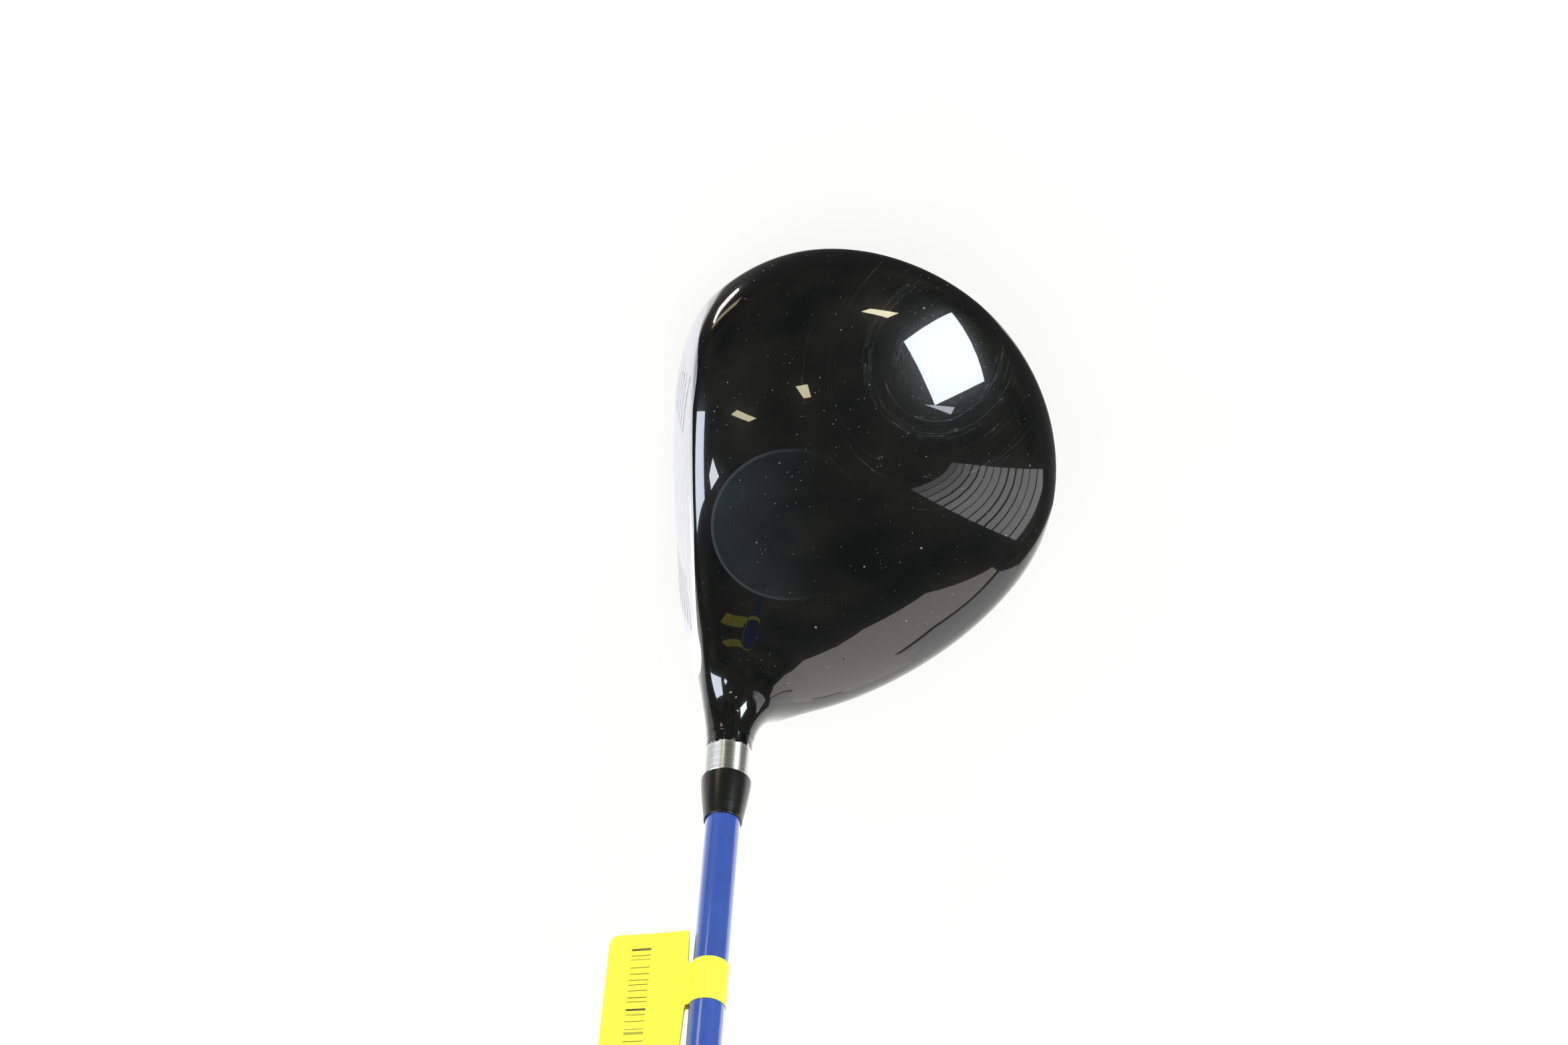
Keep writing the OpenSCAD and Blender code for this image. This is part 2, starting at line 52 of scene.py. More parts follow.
GAP = 0.04
CLUB_LENGTH = 1143
LIE = math.radians(58)
LOFT = math.radians(10)
RING = np.array([60.3, -25.0, 62.0])
SHAFT_DIR = np.array([math.cos(LIE), 0.0, math.sin(LIE)])
NECK_R = 6.25
RING_LENGTH = 8.6
CLUB_END = CLUB_LENGTH - RING[2] / math.sin(LIE)
INSERTION = 36
TUBE_START = -38.2
TUBE_R = 5.5
BORE_R = 4.58
TIP_R = 4.445
BUTT_R = 7.62
PARALLEL = 150
CAP_THICKNESS = 4
SHAFT_END = CLUB_END - CAP_THICKNESS - GAP
FERRULE_START = RING_LENGTH + GAP
FERRULE_LENGTH = 12.4
GRIP_LENGTH = 267
GRIP_START = CLUB_END - GRIP_LENGTH
GRIP_END = CLUB_END - CAP_THICKNESS
GRIP_BUTT_R = 13.2
CAP_R = 13.9
VENT_R = 1.4
BAND_START = 63.6
BAND_WIDTH = 12
FLAG_LENGTH = 35
FLAG_SHIFT = 1.4
FLAG_INNER = 5.9
FLAG_OUTER = 25.3
FACE_X = -1.4
FACE_Y = -41.75
FACE_Z = 29
SWEEP_X = 29
PLATE_A = 48.4
PLATE_B = 42
# The oval that the bare part of the face ends in at the toe
BARE_X = -7.9
BARE_A = 41
BARE_B = 26
REST_R = 15
REST_T = 2
REST_TOP = 12
PORT = np.array([0.0, 36.0, 6.865])
PORT_TILT = math.atan(41 / 130)
PORT_OUT = np.array([0.0, math.sin(PORT_TILT), -math.cos(PORT_TILT)])
PORT_R = 8
PORT_TOP = 22
SHARP = math.radians(32)

# ---- the head's surface


def fade(t):
    """A soft step from 0 at t = 0 to 1 at t = 1."""
    c = np.clip(t, 0, 1)
    return c * c * (3 - 2 * c)


def soft_max(a, b, k):
    return (a + b + np.sqrt((a - b) ** 2 + k * k)) / 2


def soft_min(a, b, k):
    return (a + b - np.sqrt((a - b) ** 2 + k * k)) / 2


def fillet_min(a, b, k):
    return np.minimum(a, b) - np.maximum(0, k - np.abs(a - b)) ** 2 / (4 * k)


def unit(v):
    return v / np.linalg.norm(v, axis=-1, keepdims=True)


def crown_height(x, y):
    """A dome, 60 mm high over (5, -22)."""
    return 60 - (x - 5) ** 2 / 180 - (y + 22) ** 2 / 230


def sole_height(x, y):
    return 0.3 + x**2 / 200 + (y + 5) ** 2 / 260


def face_front(x, z):
    """The face's y: it leans back by the loft, bulges, rolls and sweeps back to the heel."""
    lean = (z - FACE_Z) * math.tan(LOFT)
    sweep = np.maximum(0, x - SWEEP_X) ** 2 / 88
    return FACE_Y + lean + (x - FACE_X) ** 2 / 520 + (z - FACE_Z) ** 2 / 600 + sweep


def outline_gap(x, y):
    """Gap to the head's outline from above: an oval that a wide arc straightens at the heel."""
    u = soft_min(x - 3, 0, 20)
    oval = (np.hypot(u / 71.5, (y - 4.5) / 58.7) - 1) * 58.7
    heel = np.hypot(x + 77.6, y + 49.6) - 145.7
    return soft_max(oval, heel, 13.8)


def off_axis(p):
    """Distance along the shaft, and distance from its axis."""
    s = (p - RING) @ SHAFT_DIR
    return s, np.linalg.norm(p - RING - s[..., None] * SHAFT_DIR, axis=-1)


def behind_face(p):
    return (p[..., 1] - face_front(p[..., 0], p[..., 2])) * math.cos(LOFT)


def head_gap(p):
    """How far points lie outside the head, below zero inside it."""
    x, y, z = p[..., 0], p[..., 1], p[..., 2]
    crown = (z - crown_height(x, y)) * 0.9
    shells = soft_max(soft_max(crown, sole_height(x, y) - z, 4), -behind_face(p), 3)
    body = soft_max(shells, outline_gap(x, y), 5.6)
    s, r = off_axis(p)
    tube = r - NECK_R - 0.001 * np.maximum(0, -s) ** 2
    neck = soft_max(tube, -s - 50, 6)
    return fillet_min(body, neck, 3.3 + 13.2 * fade(-s / 4.6))


def gradient(p):
    eps = 0.02
    steps = [head_gap(p + d) - head_gap(p - d) for d in np.eye(3) * eps]
    return np.stack(steps, axis=-1) / (2 * eps)


def onto_skin(p):
    """Moves points that lie close to the skin onto it."""
    for _ in range(3):
        g = gradient(p)
        p = p - g * (head_gap(p) / (g**2).sum(-1))[..., None]
    return p


# A curve inside the head, from behind the toe to the neck's end, that the skin is cast from
SPINE_TOE = np.array([-12.0, 4.0, 30.0])
SPINE_BEND = RING + (34 - RING[2]) / math.sin(LIE) * SHAFT_DIR
CAP_ROWS = 72
LONG_ROWS = 104
COLUMNS = 232


def rays(rows, turns):
    """Starts and directions of the rays that meet the skin, for each row's own turns."""
    t = np.maximum(0, rows - CAP_ROWS)[:, None] / LONG_ROWS
    lean = np.minimum(1, rows / CAP_ROWS)[:, None] * math.pi / 2
    start = (1 - t) ** 2 * SPINE_TOE + 2 * t * (1 - t) * SPINE_BEND + t**2 * RING
    along = unit((1 - t) * (SPINE_BEND - SPINE_TOE) + t * (RING - SPINE_BEND))
    w = fade(2 * t)
    normal = unit((1 - w) * np.array([1.0, 0.0, 0.0]) + w * along)
    down = unit(np.cross([0.0, 1.0, 0.0], normal))
    back = np.cross(normal, down)
    out = np.cos(turns)[..., None] * down[:, None] + np.sin(turns)[..., None] * back[:, None]
    aim = np.sin(lean)[..., None] * out - np.cos(lean)[..., None] * normal[:, None]
    return np.broadcast_to(start[:, None], aim.shape), aim


def cast(start, aim):
    """Where rays first leave the head."""
    step = 6.0
    far = np.full(start.shape[:-1], step)
    for _ in range(25):
        inside = head_gap(start + far[..., None] * aim) <= 0
        far = np.where(inside, far + step, far)
    near = far - step
    for _ in range(22):
        mid = (near + far) / 2
        outside = head_gap(start + mid[..., None] * aim) > 0
        far = np.where(outside, mid, far)
        near = np.where(outside, near, mid)
    return start + far[..., None] * aim


def packed_turns(rows):
    """Turns for each row, packed closer where the section bends most."""
    fine, bend_share = 720, 1.4
    even = np.broadcast_to(np.linspace(0, 2 * math.pi, fine, endpoint=False), (len(rows), fine))
    p = cast(*rays(rows, even))
    chord = np.roll(p, -1, axis=1) - p
    length = np.linalg.norm(chord, axis=-1)
    way = chord / length[..., None]
    bend = np.arccos(np.clip((way * np.roll(way, 1, axis=1)).sum(-1), -1, 1))
    bend = (bend + np.roll(bend, -1, axis=1)) / 2
    weight = length / length.mean(1, keepdims=True) + bend_share * bend / bend.mean(1, keepdims=True)
    for axis, width in ((1, 12), (0, 3)):
        kept = weight
        for k in range(1, width):
            kept = kept + shifted(weight, k, axis) + shifted(weight, -k, axis)
        weight = kept / (2 * width - 1)
    total = np.concatenate([np.zeros((len(rows), 1)), np.cumsum(weight, axis=1)], axis=1)
    share_of_turn = np.linspace(0, 1, COLUMNS, endpoint=False)
    grid = np.linspace(0, 2 * math.pi, fine + 1)
    return np.array([np.interp(share_of_turn * row[-1], row, grid) for row in total])


def shifted(a, k, axis):
    """a moved by k places: round and round across a row, and held at the ends along the rows."""
    if axis == 1:
        return np.roll(a, k, axis=1)
    return a[np.clip(np.arange(len(a)) - k, 0, len(a) - 1)]


def head_skin():
    """The outer skin as a bmesh, open at the neck's end, with outward faces."""
    rows = np.arange(1, CAP_ROWS + LONG_ROWS + 1)
    ring_points = cast(*rays(rows, packed_turns(rows)))
    pole = cast(*rays(np.array([0]), np.zeros((1, 1))))[0, 0]
    bm = bmesh.new()
    top = bm.verts.new(pole)
    grid = [[bm.verts.new(p) for p in ring] for ring in ring_points]
    for k in range(COLUMNS):
        m = (k + 1) % COLUMNS
        bm.faces.new((top, grid[0][m], grid[0][k]))
        for a, b in zip(grid, grid[1:]):
            bm.faces.new((a[k], a[m], b[m], b[k]))
    bm.verts.index_update()
    face = max(bm.faces, key=lambda f: f.calc_center_median().z)
    face.normal_update()
    if face.normal.z < 0:
        for f in bm.faces:
            f.normal_flip()
    return bm


def places_of(bm):
    return np.array([v.co for v in bm.verts])


def cut_along(bm, line, near):
    """Adds edges along line(p) = 0, on the part of the skin where near(p) is below zero."""
    p = places_of(bm)
    value = line(p)
    wanted = near(p) < 0
    bm.verts.index_update()
    made = [v for v in bm.verts if abs(value[v.index]) < 1e-6 and wanted[v.index]]
    cuts = []
    for e in list(bm.edges):
        a, b = e.verts
        fa, fb = value[a.index], value[b.index]
        if fa * fb >= 0 or min(abs(fa), abs(fb)) < 1e-6 or not (wanted[a.index] or wanted[b.index]):
            continue
        cuts.append((e, a, fa / (fa - fb)))
    made += [bmesh.utils.edge_split(e, a, share)[1] for e, a, share in cuts]
    bm.verts.index_update()
    bmesh.ops.connect_verts(bm, verts=made)


# ---- where the head comes apart

CROWN_DROP = 8
FRAME_DEPTH = 9
NECK_ZONE_R = 17
FACE_WALL = 3
TOE_WRAP = 5
SCORE_COUNT = 9
SCORE_PITCH = 4.2
SCORE_WIDTH = 0.8
SCORE_DEPTH = 0.35
SCORE_CLEAR = 19
SCORE_END = 34
SCORE_REACH = 1.5


def wrap(x):
    """How far the face plate wraps round the toe: 0 at its middle and 1 at its end."""
    return np.maximum(0, (FACE_X - x) / PLATE_A) ** 4


def above_seam(p):
    return crown_height(p[..., 0], p[..., 1]) - CROWN_DROP - p[..., 2]


def behind_frame(p):
    return FRAME_DEPTH - behind_face(p)


def outside_neck(p):
    return NECK_ZONE_R - off_axis(p)[1]


def crown_zone(p):
    return np.max([above_seam(p), behind_frame(p), outside_neck(p)], axis=0)


def plate_depth(p):
    return behind_face(p) - FACE_WALL - TOE_WRAP * wrap(p[..., 0])


def plate_oval(p):
    across = (p[..., 0] - FACE_X + 2) / PLATE_A
    return (np.hypot(across, (p[..., 2] - FACE_Z) / PLATE_B) - 1) * PLATE_B


def plate_zone(p):
    return np.maximum(plate_depth(p), plate_oval(p))


def rest_hole(p):
    return np.maximum(np.hypot(p[..., 0], p[..., 1]) - REST_R - GAP, p[..., 2] - REST_TOP)


def port_hole(p):
    d = p - PORT
    r = np.linalg.norm(d - (d @ PORT_OUT)[..., None] * PORT_OUT, axis=-1)
    return np.maximum(r - PORT_R - GAP, p[..., 2] - PORT_TOP)


def near_face(p):
    return behind_face(p) - SCORE_REACH


def score_rows():
    first = FACE_Z - (SCORE_COUNT - 1) / 2 * SCORE_PITCH
    return [first + k * SCORE_PITCH for k in range(SCORE_COUNT)]


def score_zone(p):
    """Below zero inside a score line."""
    x = np.abs(p[..., 0] - FACE_X)
    across = np.maximum(SCORE_CLEAR - x, x - SCORE_END)
    level = np.min([np.abs(p[..., 2] - z) for z in score_rows()], axis=0) - SCORE_WIDTH / 2
    return np.maximum(np.maximum(across, level), near_face(p))


def near_score(p):
    return np.maximum(score_zone(p) - 3, near_face(p))


def cut_zones(bm):
    """Adds the edges that the head's pieces, holes and score lines part along."""
    margin = 2.5
    cut_along(bm, plate_depth, lambda p: plate_oval(p) - margin)
    cut_along(bm, plate_oval, lambda p: plate_depth(p) - margin)
    seams = (above_seam, behind_frame, outside_neck)
    for seam in seams:
        one, other = (s for s in seams if s is not seam)
        cut_along(bm, seam, lambda p: np.maximum(one(p), other(p)) - margin)
    cut_along(bm, rest_hole, lambda p: p[..., 2] - REST_TOP + 2)
    cut_along(bm, port_hole, lambda p: p[..., 2] - PORT_TOP + 2)
    for end in (-SCORE_CLEAR, -SCORE_END, SCORE_CLEAR, SCORE_END):
        cut_along(bm, lambda p: p[..., 0] - (FACE_X + end), near_face)
    for z in score_rows():
        for level in (z - SCORE_WIDTH / 2, z + SCORE_WIDTH / 2):
            cut_along(bm, lambda p: p[..., 2] - level, near_score)


def wall(p):
    """Thickness of the shells: thin at the neck, thick in the middle of the face."""
    skirt = 0.7 + 0.5 * fade((off_axis(p)[1] - 7) / 5)
    return skirt + 1.8 * fade(-plate_zone(p) / 6)


# ---- building meshes


def new_mesh(name, points, faces):
    """A mesh from points in millimetres."""
    mesh = bpy.data.meshes.new(name)
    mesh.from_pydata([tuple(np.array(p) * MM) for p in points], [], faces)
    return mesh


def linked(name, data):
    obj = bpy.data.objects.new(name, data)
    bpy.context.scene.collection.objects.link(obj)
    return obj


def smooth(mesh, sharp):
    """Soft shading, but for edges that bend by more than the angle."""
    mesh.polygons.foreach_set("use_smooth", [True] * len(mesh.polygons))
    mesh.set_sharp_from_angle(angle=sharp)


def closed_object(name, points, faces, sharp=SHARP):
    """A closed solid with outward faces."""
    mesh = new_mesh(name, points, faces)
    bm = bmesh.new()
    bm.from_mesh(mesh)
    bmesh.ops.recalc_face_normals(bm, faces=bm.faces)
    bm.to_mesh(mesh)
    bm.free()
    smooth(mesh, sharp)
    return linked(name, mesh)


class Sheet:
    """Collects points, faces and the normals that their corners are shaded with."""

    def __init__(self):
        self.points, self.faces, self.shading = [], [], []

    def layer(self, used, places):
        """Adds the used places in order, and tells where each one is among the points."""
        spots = {i: k for k, i in enumerate(sorted(used), len(self.points))}
        self.points.extend(places[i] for i in spots)
        return spots

    def add(self, corners, shading=None):
        """shading is one normal per corner, or None for a flat face."""
        self.faces.append(corners)
        if shading is None:
            a, b, c = (np.array(self.points[k]) for k in corners[:3])
            flat = np.cross(b - a, c - a)
            shading = [flat / max(1e-12, np.linalg.norm(flat))] * len(corners)
        self.shading.extend(shading)

    def object(self, name):
        mesh = new_mesh(name, self.points, self.faces)
        mesh.polygons.foreach_set("use_smooth", [True] * len(mesh.polygons))
        mesh.normals_split_custom_set([tuple(n) for n in self.shading])
        return linked(name, mesh)


def shell_piece(name, skin, faces, sunk=()):
    """A closed shell from faces of the skin. Those in sunk lie a score line's depth lower."""
    points, normals, thickness = skin
    sheet = Sheet()
    every = list(faces) + list(sunk)
    lowered = set(sunk)
    top = sheet.layer({i for f in faces for i in f}, points)
    floor = sheet.layer({i for f in sunk for i in f}, points - SCORE_DEPTH * normals)
    under = sheet.layer({*top, *floor}, points - thickness[:, None] * normals)
    owner = {}
    for f in every:
        for a, b in zip(f, f[1:] + f[:1]):
            owner[a, b] = f in lowered
    for upper, group in ((top, faces), (floor, sunk)):
        for f in group:
            sheet.add([upper[i] for i in f], [normals[i] for i in f])
    for f in every:
        back = f[::-1]
        sheet.add([under[i] for i in back], [-normals[i] for i in back])
    for (a, b), low in owner.items():
        upper = floor if low else top
        other = owner.get((b, a))
        if other is None:
            sheet.add([upper[b], upper[a], under[a], under[b]])
        elif other and not low:
            sheet.add([top[b], top[a], floor[a], floor[b]])
    return sheet.object(name)


def head_pieces():
    """Splits the skin into the crown, the body and the striking face."""
    bm = head_skin()
    cut_zones(bm)
    points = onto_skin(places_of(bm))
    normals = unit(gradient(points))
    skin = (points, normals, wall(points))
    groups = {"crown": [], "body": [], "face": [], "score": []}
    bm.verts.index_update()
    loops = [tuple(v.index for v in f.verts) for f in bm.faces]
    bm.free()
    middles = np.array([points[list(f)].mean(0) for f in loops])
    zones = (rest_hole, port_hole, plate_zone, score_zone, crown_zone)
    for f, rest, port, plate, score, crown in zip(loops, *(z(middles) < 0 for z in zones)):
        if rest or port:
            continue
        if plate:
            groups["score" if score else "face"].append(f)
        else:
            groups["crown" if crown else "body"].append(f)
    shells = [shell_piece(f"{name}_shell", skin, groups[name]) for name in ("crown", "body")]
    return *shells, shell_piece("striking_face", skin, groups["face"], groups["score"])


def lathe(name, profile, segments, relief=None, at=RING, axis=SHAFT_DIR):
    """A closed solid turned about an axis from [radius, distance] points, listed so that the
    solid lies on their left. A profile whose ends both have radius 0 is closed by the axis."""
    axis = np.array(axis, float)
    side = np.array([0.0, 1.0, 0.0])
    front = np.cross(axis, side)
    turn = np.linspace(0, 2 * math.pi, segments, endpoint=False)
    spokes = np.cos(turn)[:, None] * side + np.sin(turn)[:, None] * front
    points, rows = [], []
    for k, (r, s) in enumerate(profile):
        here = np.full(segments, float(r))
        if relief is not None:
            here = relief(k, here, s, turn)
        count = 1 if r == 0 else segments
        rows.append(range(len(points), len(points) + count))
        points.extend((at + s * axis + here[:, None] * spokes)[:count])
    faces = []
    pairs = list(zip(rows, rows[1:]))
    if profile[0][0] > 0:
        pairs.append((rows[-1], rows[0]))
    for low, high in pairs:
        for k in range(segments):
            m = (k + 1) % segments
            corners = [low[k % len(low)], low[m % len(low)], high[m % len(high)], high[k % len(high)]]
            faces.append(list(dict.fromkeys(corners)))
    return closed_object(name, points, faces)


def steps(low, high, count):
    """Evenly spaced numbers from low to high, both included."""
    return [low + (high - low) * k / count for k in range(count + 1)]


def arc(r, s, wide, tall, start, end, count):
    """Points along a part of the ellipse round [r, s]."""
    return [(r + wide * math.cos(a), s + tall * math.sin(a)) for a in steps(start, end, count)]


def shaft_r(s):
    return TIP_R + max(0, s - PARALLEL) * (BUTT_R - TIP_R) / (SHAFT_END - PARALLEL)


def hosel_ring():
    """The bare ring with eased edges, and the tube below it that the shaft is glued into."""
    ease = 0.18
    profile = [
        (TUBE_R, TUBE_START), (TUBE_R, -0.3), (TUBE_R + 0.05, -0.03), (NECK_R - ease, 0.0),
        (NECK_R, ease), (NECK_R, RING_LENGTH - ease), (NECK_R - ease, RING_LENGTH),
        (BORE_R + 0.1, RING_LENGTH), (BORE_R, RING_LENGTH - 0.1), (BORE_R, TUBE_START),
    ]
    return lathe("hosel_ring", profile, segments=160)


def ferrule():
    """A swelling collar with a small rolled lip at its thin end."""
    wide, thin, lip = 6.4, 4.8, 0.22
    end = FERRULE_START + FERRULE_LENGTH
    outer = [(wide - 0.12, FERRULE_START), (wide, FERRULE_START + 0.12)]
    outer += [
        (wide + (thin - wide) * t**1.35, FERRULE_START + FERRULE_LENGTH * t)
        for t in steps(0.03, 0.94, 30)
    ]
    rolled = arc(thin, end - 0.4, 0.6 * lip, 0.38, -1.3, math.pi / 2 - 0.05, 10)
    inner = [(TIP_R + 0.02, end - 0.02), (TIP_R + 0.02, FERRULE_START)]
    return lathe("ferrule_collar", outer + rolled + inner, segments=128)


def painted_shaft():
    hollow = TIP_R - 2.1
    outer = [(TIP_R, s) for s in steps(-INSERTION, PARALLEL, 24)[1:]]
    outer += [(shaft_r(s), s) for s in steps(PARALLEL, SHAFT_END - 0.2, 60)[1:]]
    outer.append((BUTT_R - 0.2, SHAFT_END))
    inner = [
        (BUTT_R - 1.2, SHAFT_END), (hollow, PARALLEL), (hollow, -INSERTION),
        (TIP_R - 0.2, -INSERTION), (TIP_R, -INSERTION + 0.2),
    ]
    return lathe("painted_shaft", outer + inner, segments=128)


# ---- grip and tag

GRIP_MOUTH_R = shaft_r(GRIP_START) + 1.6
GRIP_ROWS = 470
KNURL_DEPTH = 0.34
PANEL_END = 22
PANEL_PITCH = 56


def grip_r(s):
    t = (s - GRIP_START) / (GRIP_END - GRIP_START)
    return GRIP_MOUTH_R + (GRIP_BUTT_R - GRIP_MOUTH_R) * np.clip(t, 0, 1) ** 1.15


def groove(distance, half_width, edge=0.25):
    """1 on the floor of a groove and 0 outside it, with sloping sides."""
    return 1 - fade((np.abs(distance) - half_width) / edge)


def grip_relief(k, r, s, turn):
    """Ring grooves at both ends, and between them panels of diamonds, parted by plain bands."""
    if k >= GRIP_ROWS:
        return r
    from_mouth, from_butt = s - GRIP_START, GRIP_END - s
    depth = np.zeros_like(turn)
    for n in range(3):
        depth = depth + 0.3 * groove(from_mouth - 6 - 4 * n, 0.45)
        depth = depth + 0.6 * groove(from_butt - 6 - 4 * n, 0.45)
    field = fade((from_mouth - PANEL_END) / 2) * fade((from_butt - PANEL_END) / 2)
    panel = (from_mouth - PANEL_END) % PANEL_PITCH
    field = field * fade((panel - 4) / 1.2) * fade((PANEL_PITCH - 4 - panel) / 1.2)
    winds, pitch = 14, 7.2
    left = np.sin(winds * turn + 2 * math.pi * s / pitch)
    right = np.sin(winds * turn - 2 * math.pi * s / pitch)
    cut = np.maximum(groove(left, 0.16, 0.28), groove(right, 0.16, 0.28))
    return r - depth - KNURL_DEPTH * field * cut


def rubber_grip():
    """Rows of the grooved outside, and a smooth bore that leaves room for the tape."""
    lip, liner = 0.8, 0.16
    outer = []
    for s in steps(GRIP_START, GRIP_END, GRIP_ROWS - 1):
        ease = max(0.0, 1 - (s - GRIP_START) / lip)
        outer.append((float(grip_r(s)) - lip * 0.6 * ease**2, s))
    inner = [(BUTT_R + liner, GRIP_END), (shaft_r(GRIP_START) + liner, GRIP_START)]
    return lathe("rubber_grip", outer + inner, segments=168, relief=grip_relief)


def butt_cap():
    """A rounded cap with a shallow dish, a ring bead and the vent hole."""
    low = CLUB_END - CAP_THICKNESS + GAP
    edge = 1.5
    outer = [(VENT_R, low), (CAP_R - 0.2, low), (CAP_R, low + 0.2)]
    outer += arc(CAP_R - edge, CLUB_END - edge, edge, edge, 0, math.pi / 2, 12)
    dish = [
        (r, CLUB_END - 0.35 * float(fade((11.4 - r) / 1.2)) + 0.25 * float(groove(r - 5, 0.4, 0.5)))
        for r in steps(11.8, VENT_R + 0.4, 60)
    ]
    lip = [(VENT_R, CLUB_END - 0.6)]
    return lathe("butt_cap", outer + dish + lip, segments=144)


def wear_plate():
    """A flat disc with an eased lower edge."""
    ease = 0.4
    profile = [(0, 0), (REST_R - 4, 0), (REST_R - ease, 0)]
    profile += arc(REST_R - ease, ease, ease, ease, 0.3 - math.pi / 2, 0, 5)
    profile += [(REST_R, REST_T - 0.1), (REST_R - 0.1, REST_T), (0, REST_T)]
    return lathe("wear_plate", profile, segments=128, at=np.zeros(3), axis=(0, 0, 1))


def tag_path():
    """Middle line of the folded paper, across the shaft: out along one layer, round the
    shaft and back along the other. Each point is [distance outward, distance sideways]."""
    loop_r = TIP_R + 0.12
    layer = 0.085
    meet = 2.6
    turn_from = math.asin(meet / loop_r / 2)
    flat = steps(FLAG_OUTER, loop_r + meet, 40)
    first = [(d, layer) for d in flat]
    start = (loop_r * math.cos(turn_from), loop_r * math.sin(turn_from))
    neck = []
    for t in steps(0, 1, 10)[1:-1]:
        w = float(fade(t))
        neck.append((flat[-1] + (start[0] - flat[-1]) * t, layer + (start[1] - layer) * w))
    loop = arc(0, 0, loop_r, loop_r, turn_from, 2 * math.pi - turn_from, 72)
    half = first + neck
    return half + loop + [(d, -w) for d, w in half[::-1]]


def past_fold(d):
    """0 on the band round the shaft and 1 on the flag, at a distance outward."""
    return float(fade((d - FLAG_INNER + 0.5) / 0.5))


def tag_span(d):
    """Half the tag's length along the shaft, at a distance outward from the shaft's axis."""
    band, half = BAND_WIDTH / 2, FLAG_LENGTH / 2
    for inside, corner in ((d - FLAG_INNER, 1.0), (FLAG_OUTER - d, 2.5)):
        share = np.clip(1 - inside / corner, 0, 1)
        half -= corner * (1 - math.sqrt(1 - share**2))
    return band + (half - band) * past_fold(d)


def paper_tag():
    """One folded strip of paper: a loop round the shaft, and a flag of two layers."""
    outward = np.array([0.0, -1.0, 0.0])
    front = np.cross(outward, SHAFT_DIR)
    middle = BAND_START + BAND_WIDTH / 2
    across, thick, skew = 44, 0.07, 0.146
    path = np.array(tag_path())
    ahead = unit(np.gradient(path, axis=0))
    points, marks, faces, rows = [], [], [], {}
    for side in (1, -1):
        for k, (d, w) in enumerate(path):
            half = tag_span(d)
            flag = max(0.0, d - FLAG_INNER)
            reach = flag / (FLAG_OUTER - FLAG_INNER)
            centre = middle + skew * flag + FLAG_SHIFT * past_fold(d)
            out = d - side * ahead[k][1] * thick
            rows[side, k] = range(len(points), len(points) + across + 1)
            for v in np.linspace(-half, half, across + 1):
                lift = 1.5 * reach**2 + 0.5 * reach * math.sin(v / 8)
                up = w + side * ahead[k][0] * thick + lift
                points.append(RING + (centre + v) * SHAFT_DIR + out * outward + up * front)
                marks.append((d - FLAG_INNER, v, 0.0))
    last = len(path) - 1
    for k in range(last):
        (a, b), (c, d) = ((rows[side, k], rows[side, k + 1]) for side in (1, -1))
        for m in range(across):
            faces.append([a[m], a[m + 1], b[m + 1], b[m]])
            faces.append([c[m], d[m], d[m + 1], c[m + 1]])
        for m in (0, across):
            faces.append([a[m], b[m], d[m], c[m]])
    for k in (0, last):
        a, c = rows[1, k], rows[-1, k]
        for m in range(across):
            faces.append([a[m], a[m + 1], c[m + 1], c[m]])
    obj = closed_object("paper_tag", points, faces, math.radians(50))
    layout = obj.data.attributes.new("layout", "FLOAT_VECTOR", "POINT")
    layout.data.foreach_set("vector", np.array(marks, np.float32).ravel())
    return obj


# ---- materials


def maths(operation, swapped=False):
    def apply(self, other=0.0):
        a, b = (other, self) if swapped else (self, other)
        return self.nodes.math(operation, a, b)

    return apply


class Wire:
    """A value that flows between nodes. Sums, products and the like become maths nodes."""

    def __init__(self, nodes, socket):
        self.nodes, self.socket = nodes, socket

    __add__ = maths("ADD")
    __sub__ = maths("SUBTRACT")
    __rsub__ = maths("SUBTRACT", swapped=True)
    __mul__ = maths("MULTIPLY")
    __truediv__ = maths("DIVIDE")
    __lt__ = maths("LESS_THAN")
    __gt__ = maths("GREATER_THAN")
    __abs__ = maths("ABSOLUTE")


class Nodes:
    """The node tree of a material or a world under construction."""

    def __init__(self, owner, empty=True):
        owner.use_nodes = True
        self.tree = owner.node_tree
        if empty:
            self.tree.nodes.clear()

    def feed(self, socket, value):
        if isinstance(value, Wire):
            self.tree.links.new(value.socket, socket)
        else:
            socket.default_value = value

    def node(self, kind, inputs=(), out=0, **settings):
        made = self.tree.nodes.new("ShaderNode" + kind)
        for key, value in settings.items():
            setattr(made, key, value)
        for key, value in dict(inputs).items():
            self.feed(made.inputs[key], value)
        return Wire(self, made.outputs[out]) if made.outputs else None

    def math(self, operation, a, b=0.0):
        return self.node("Math", {0: a, 1: b}, operation=operation)


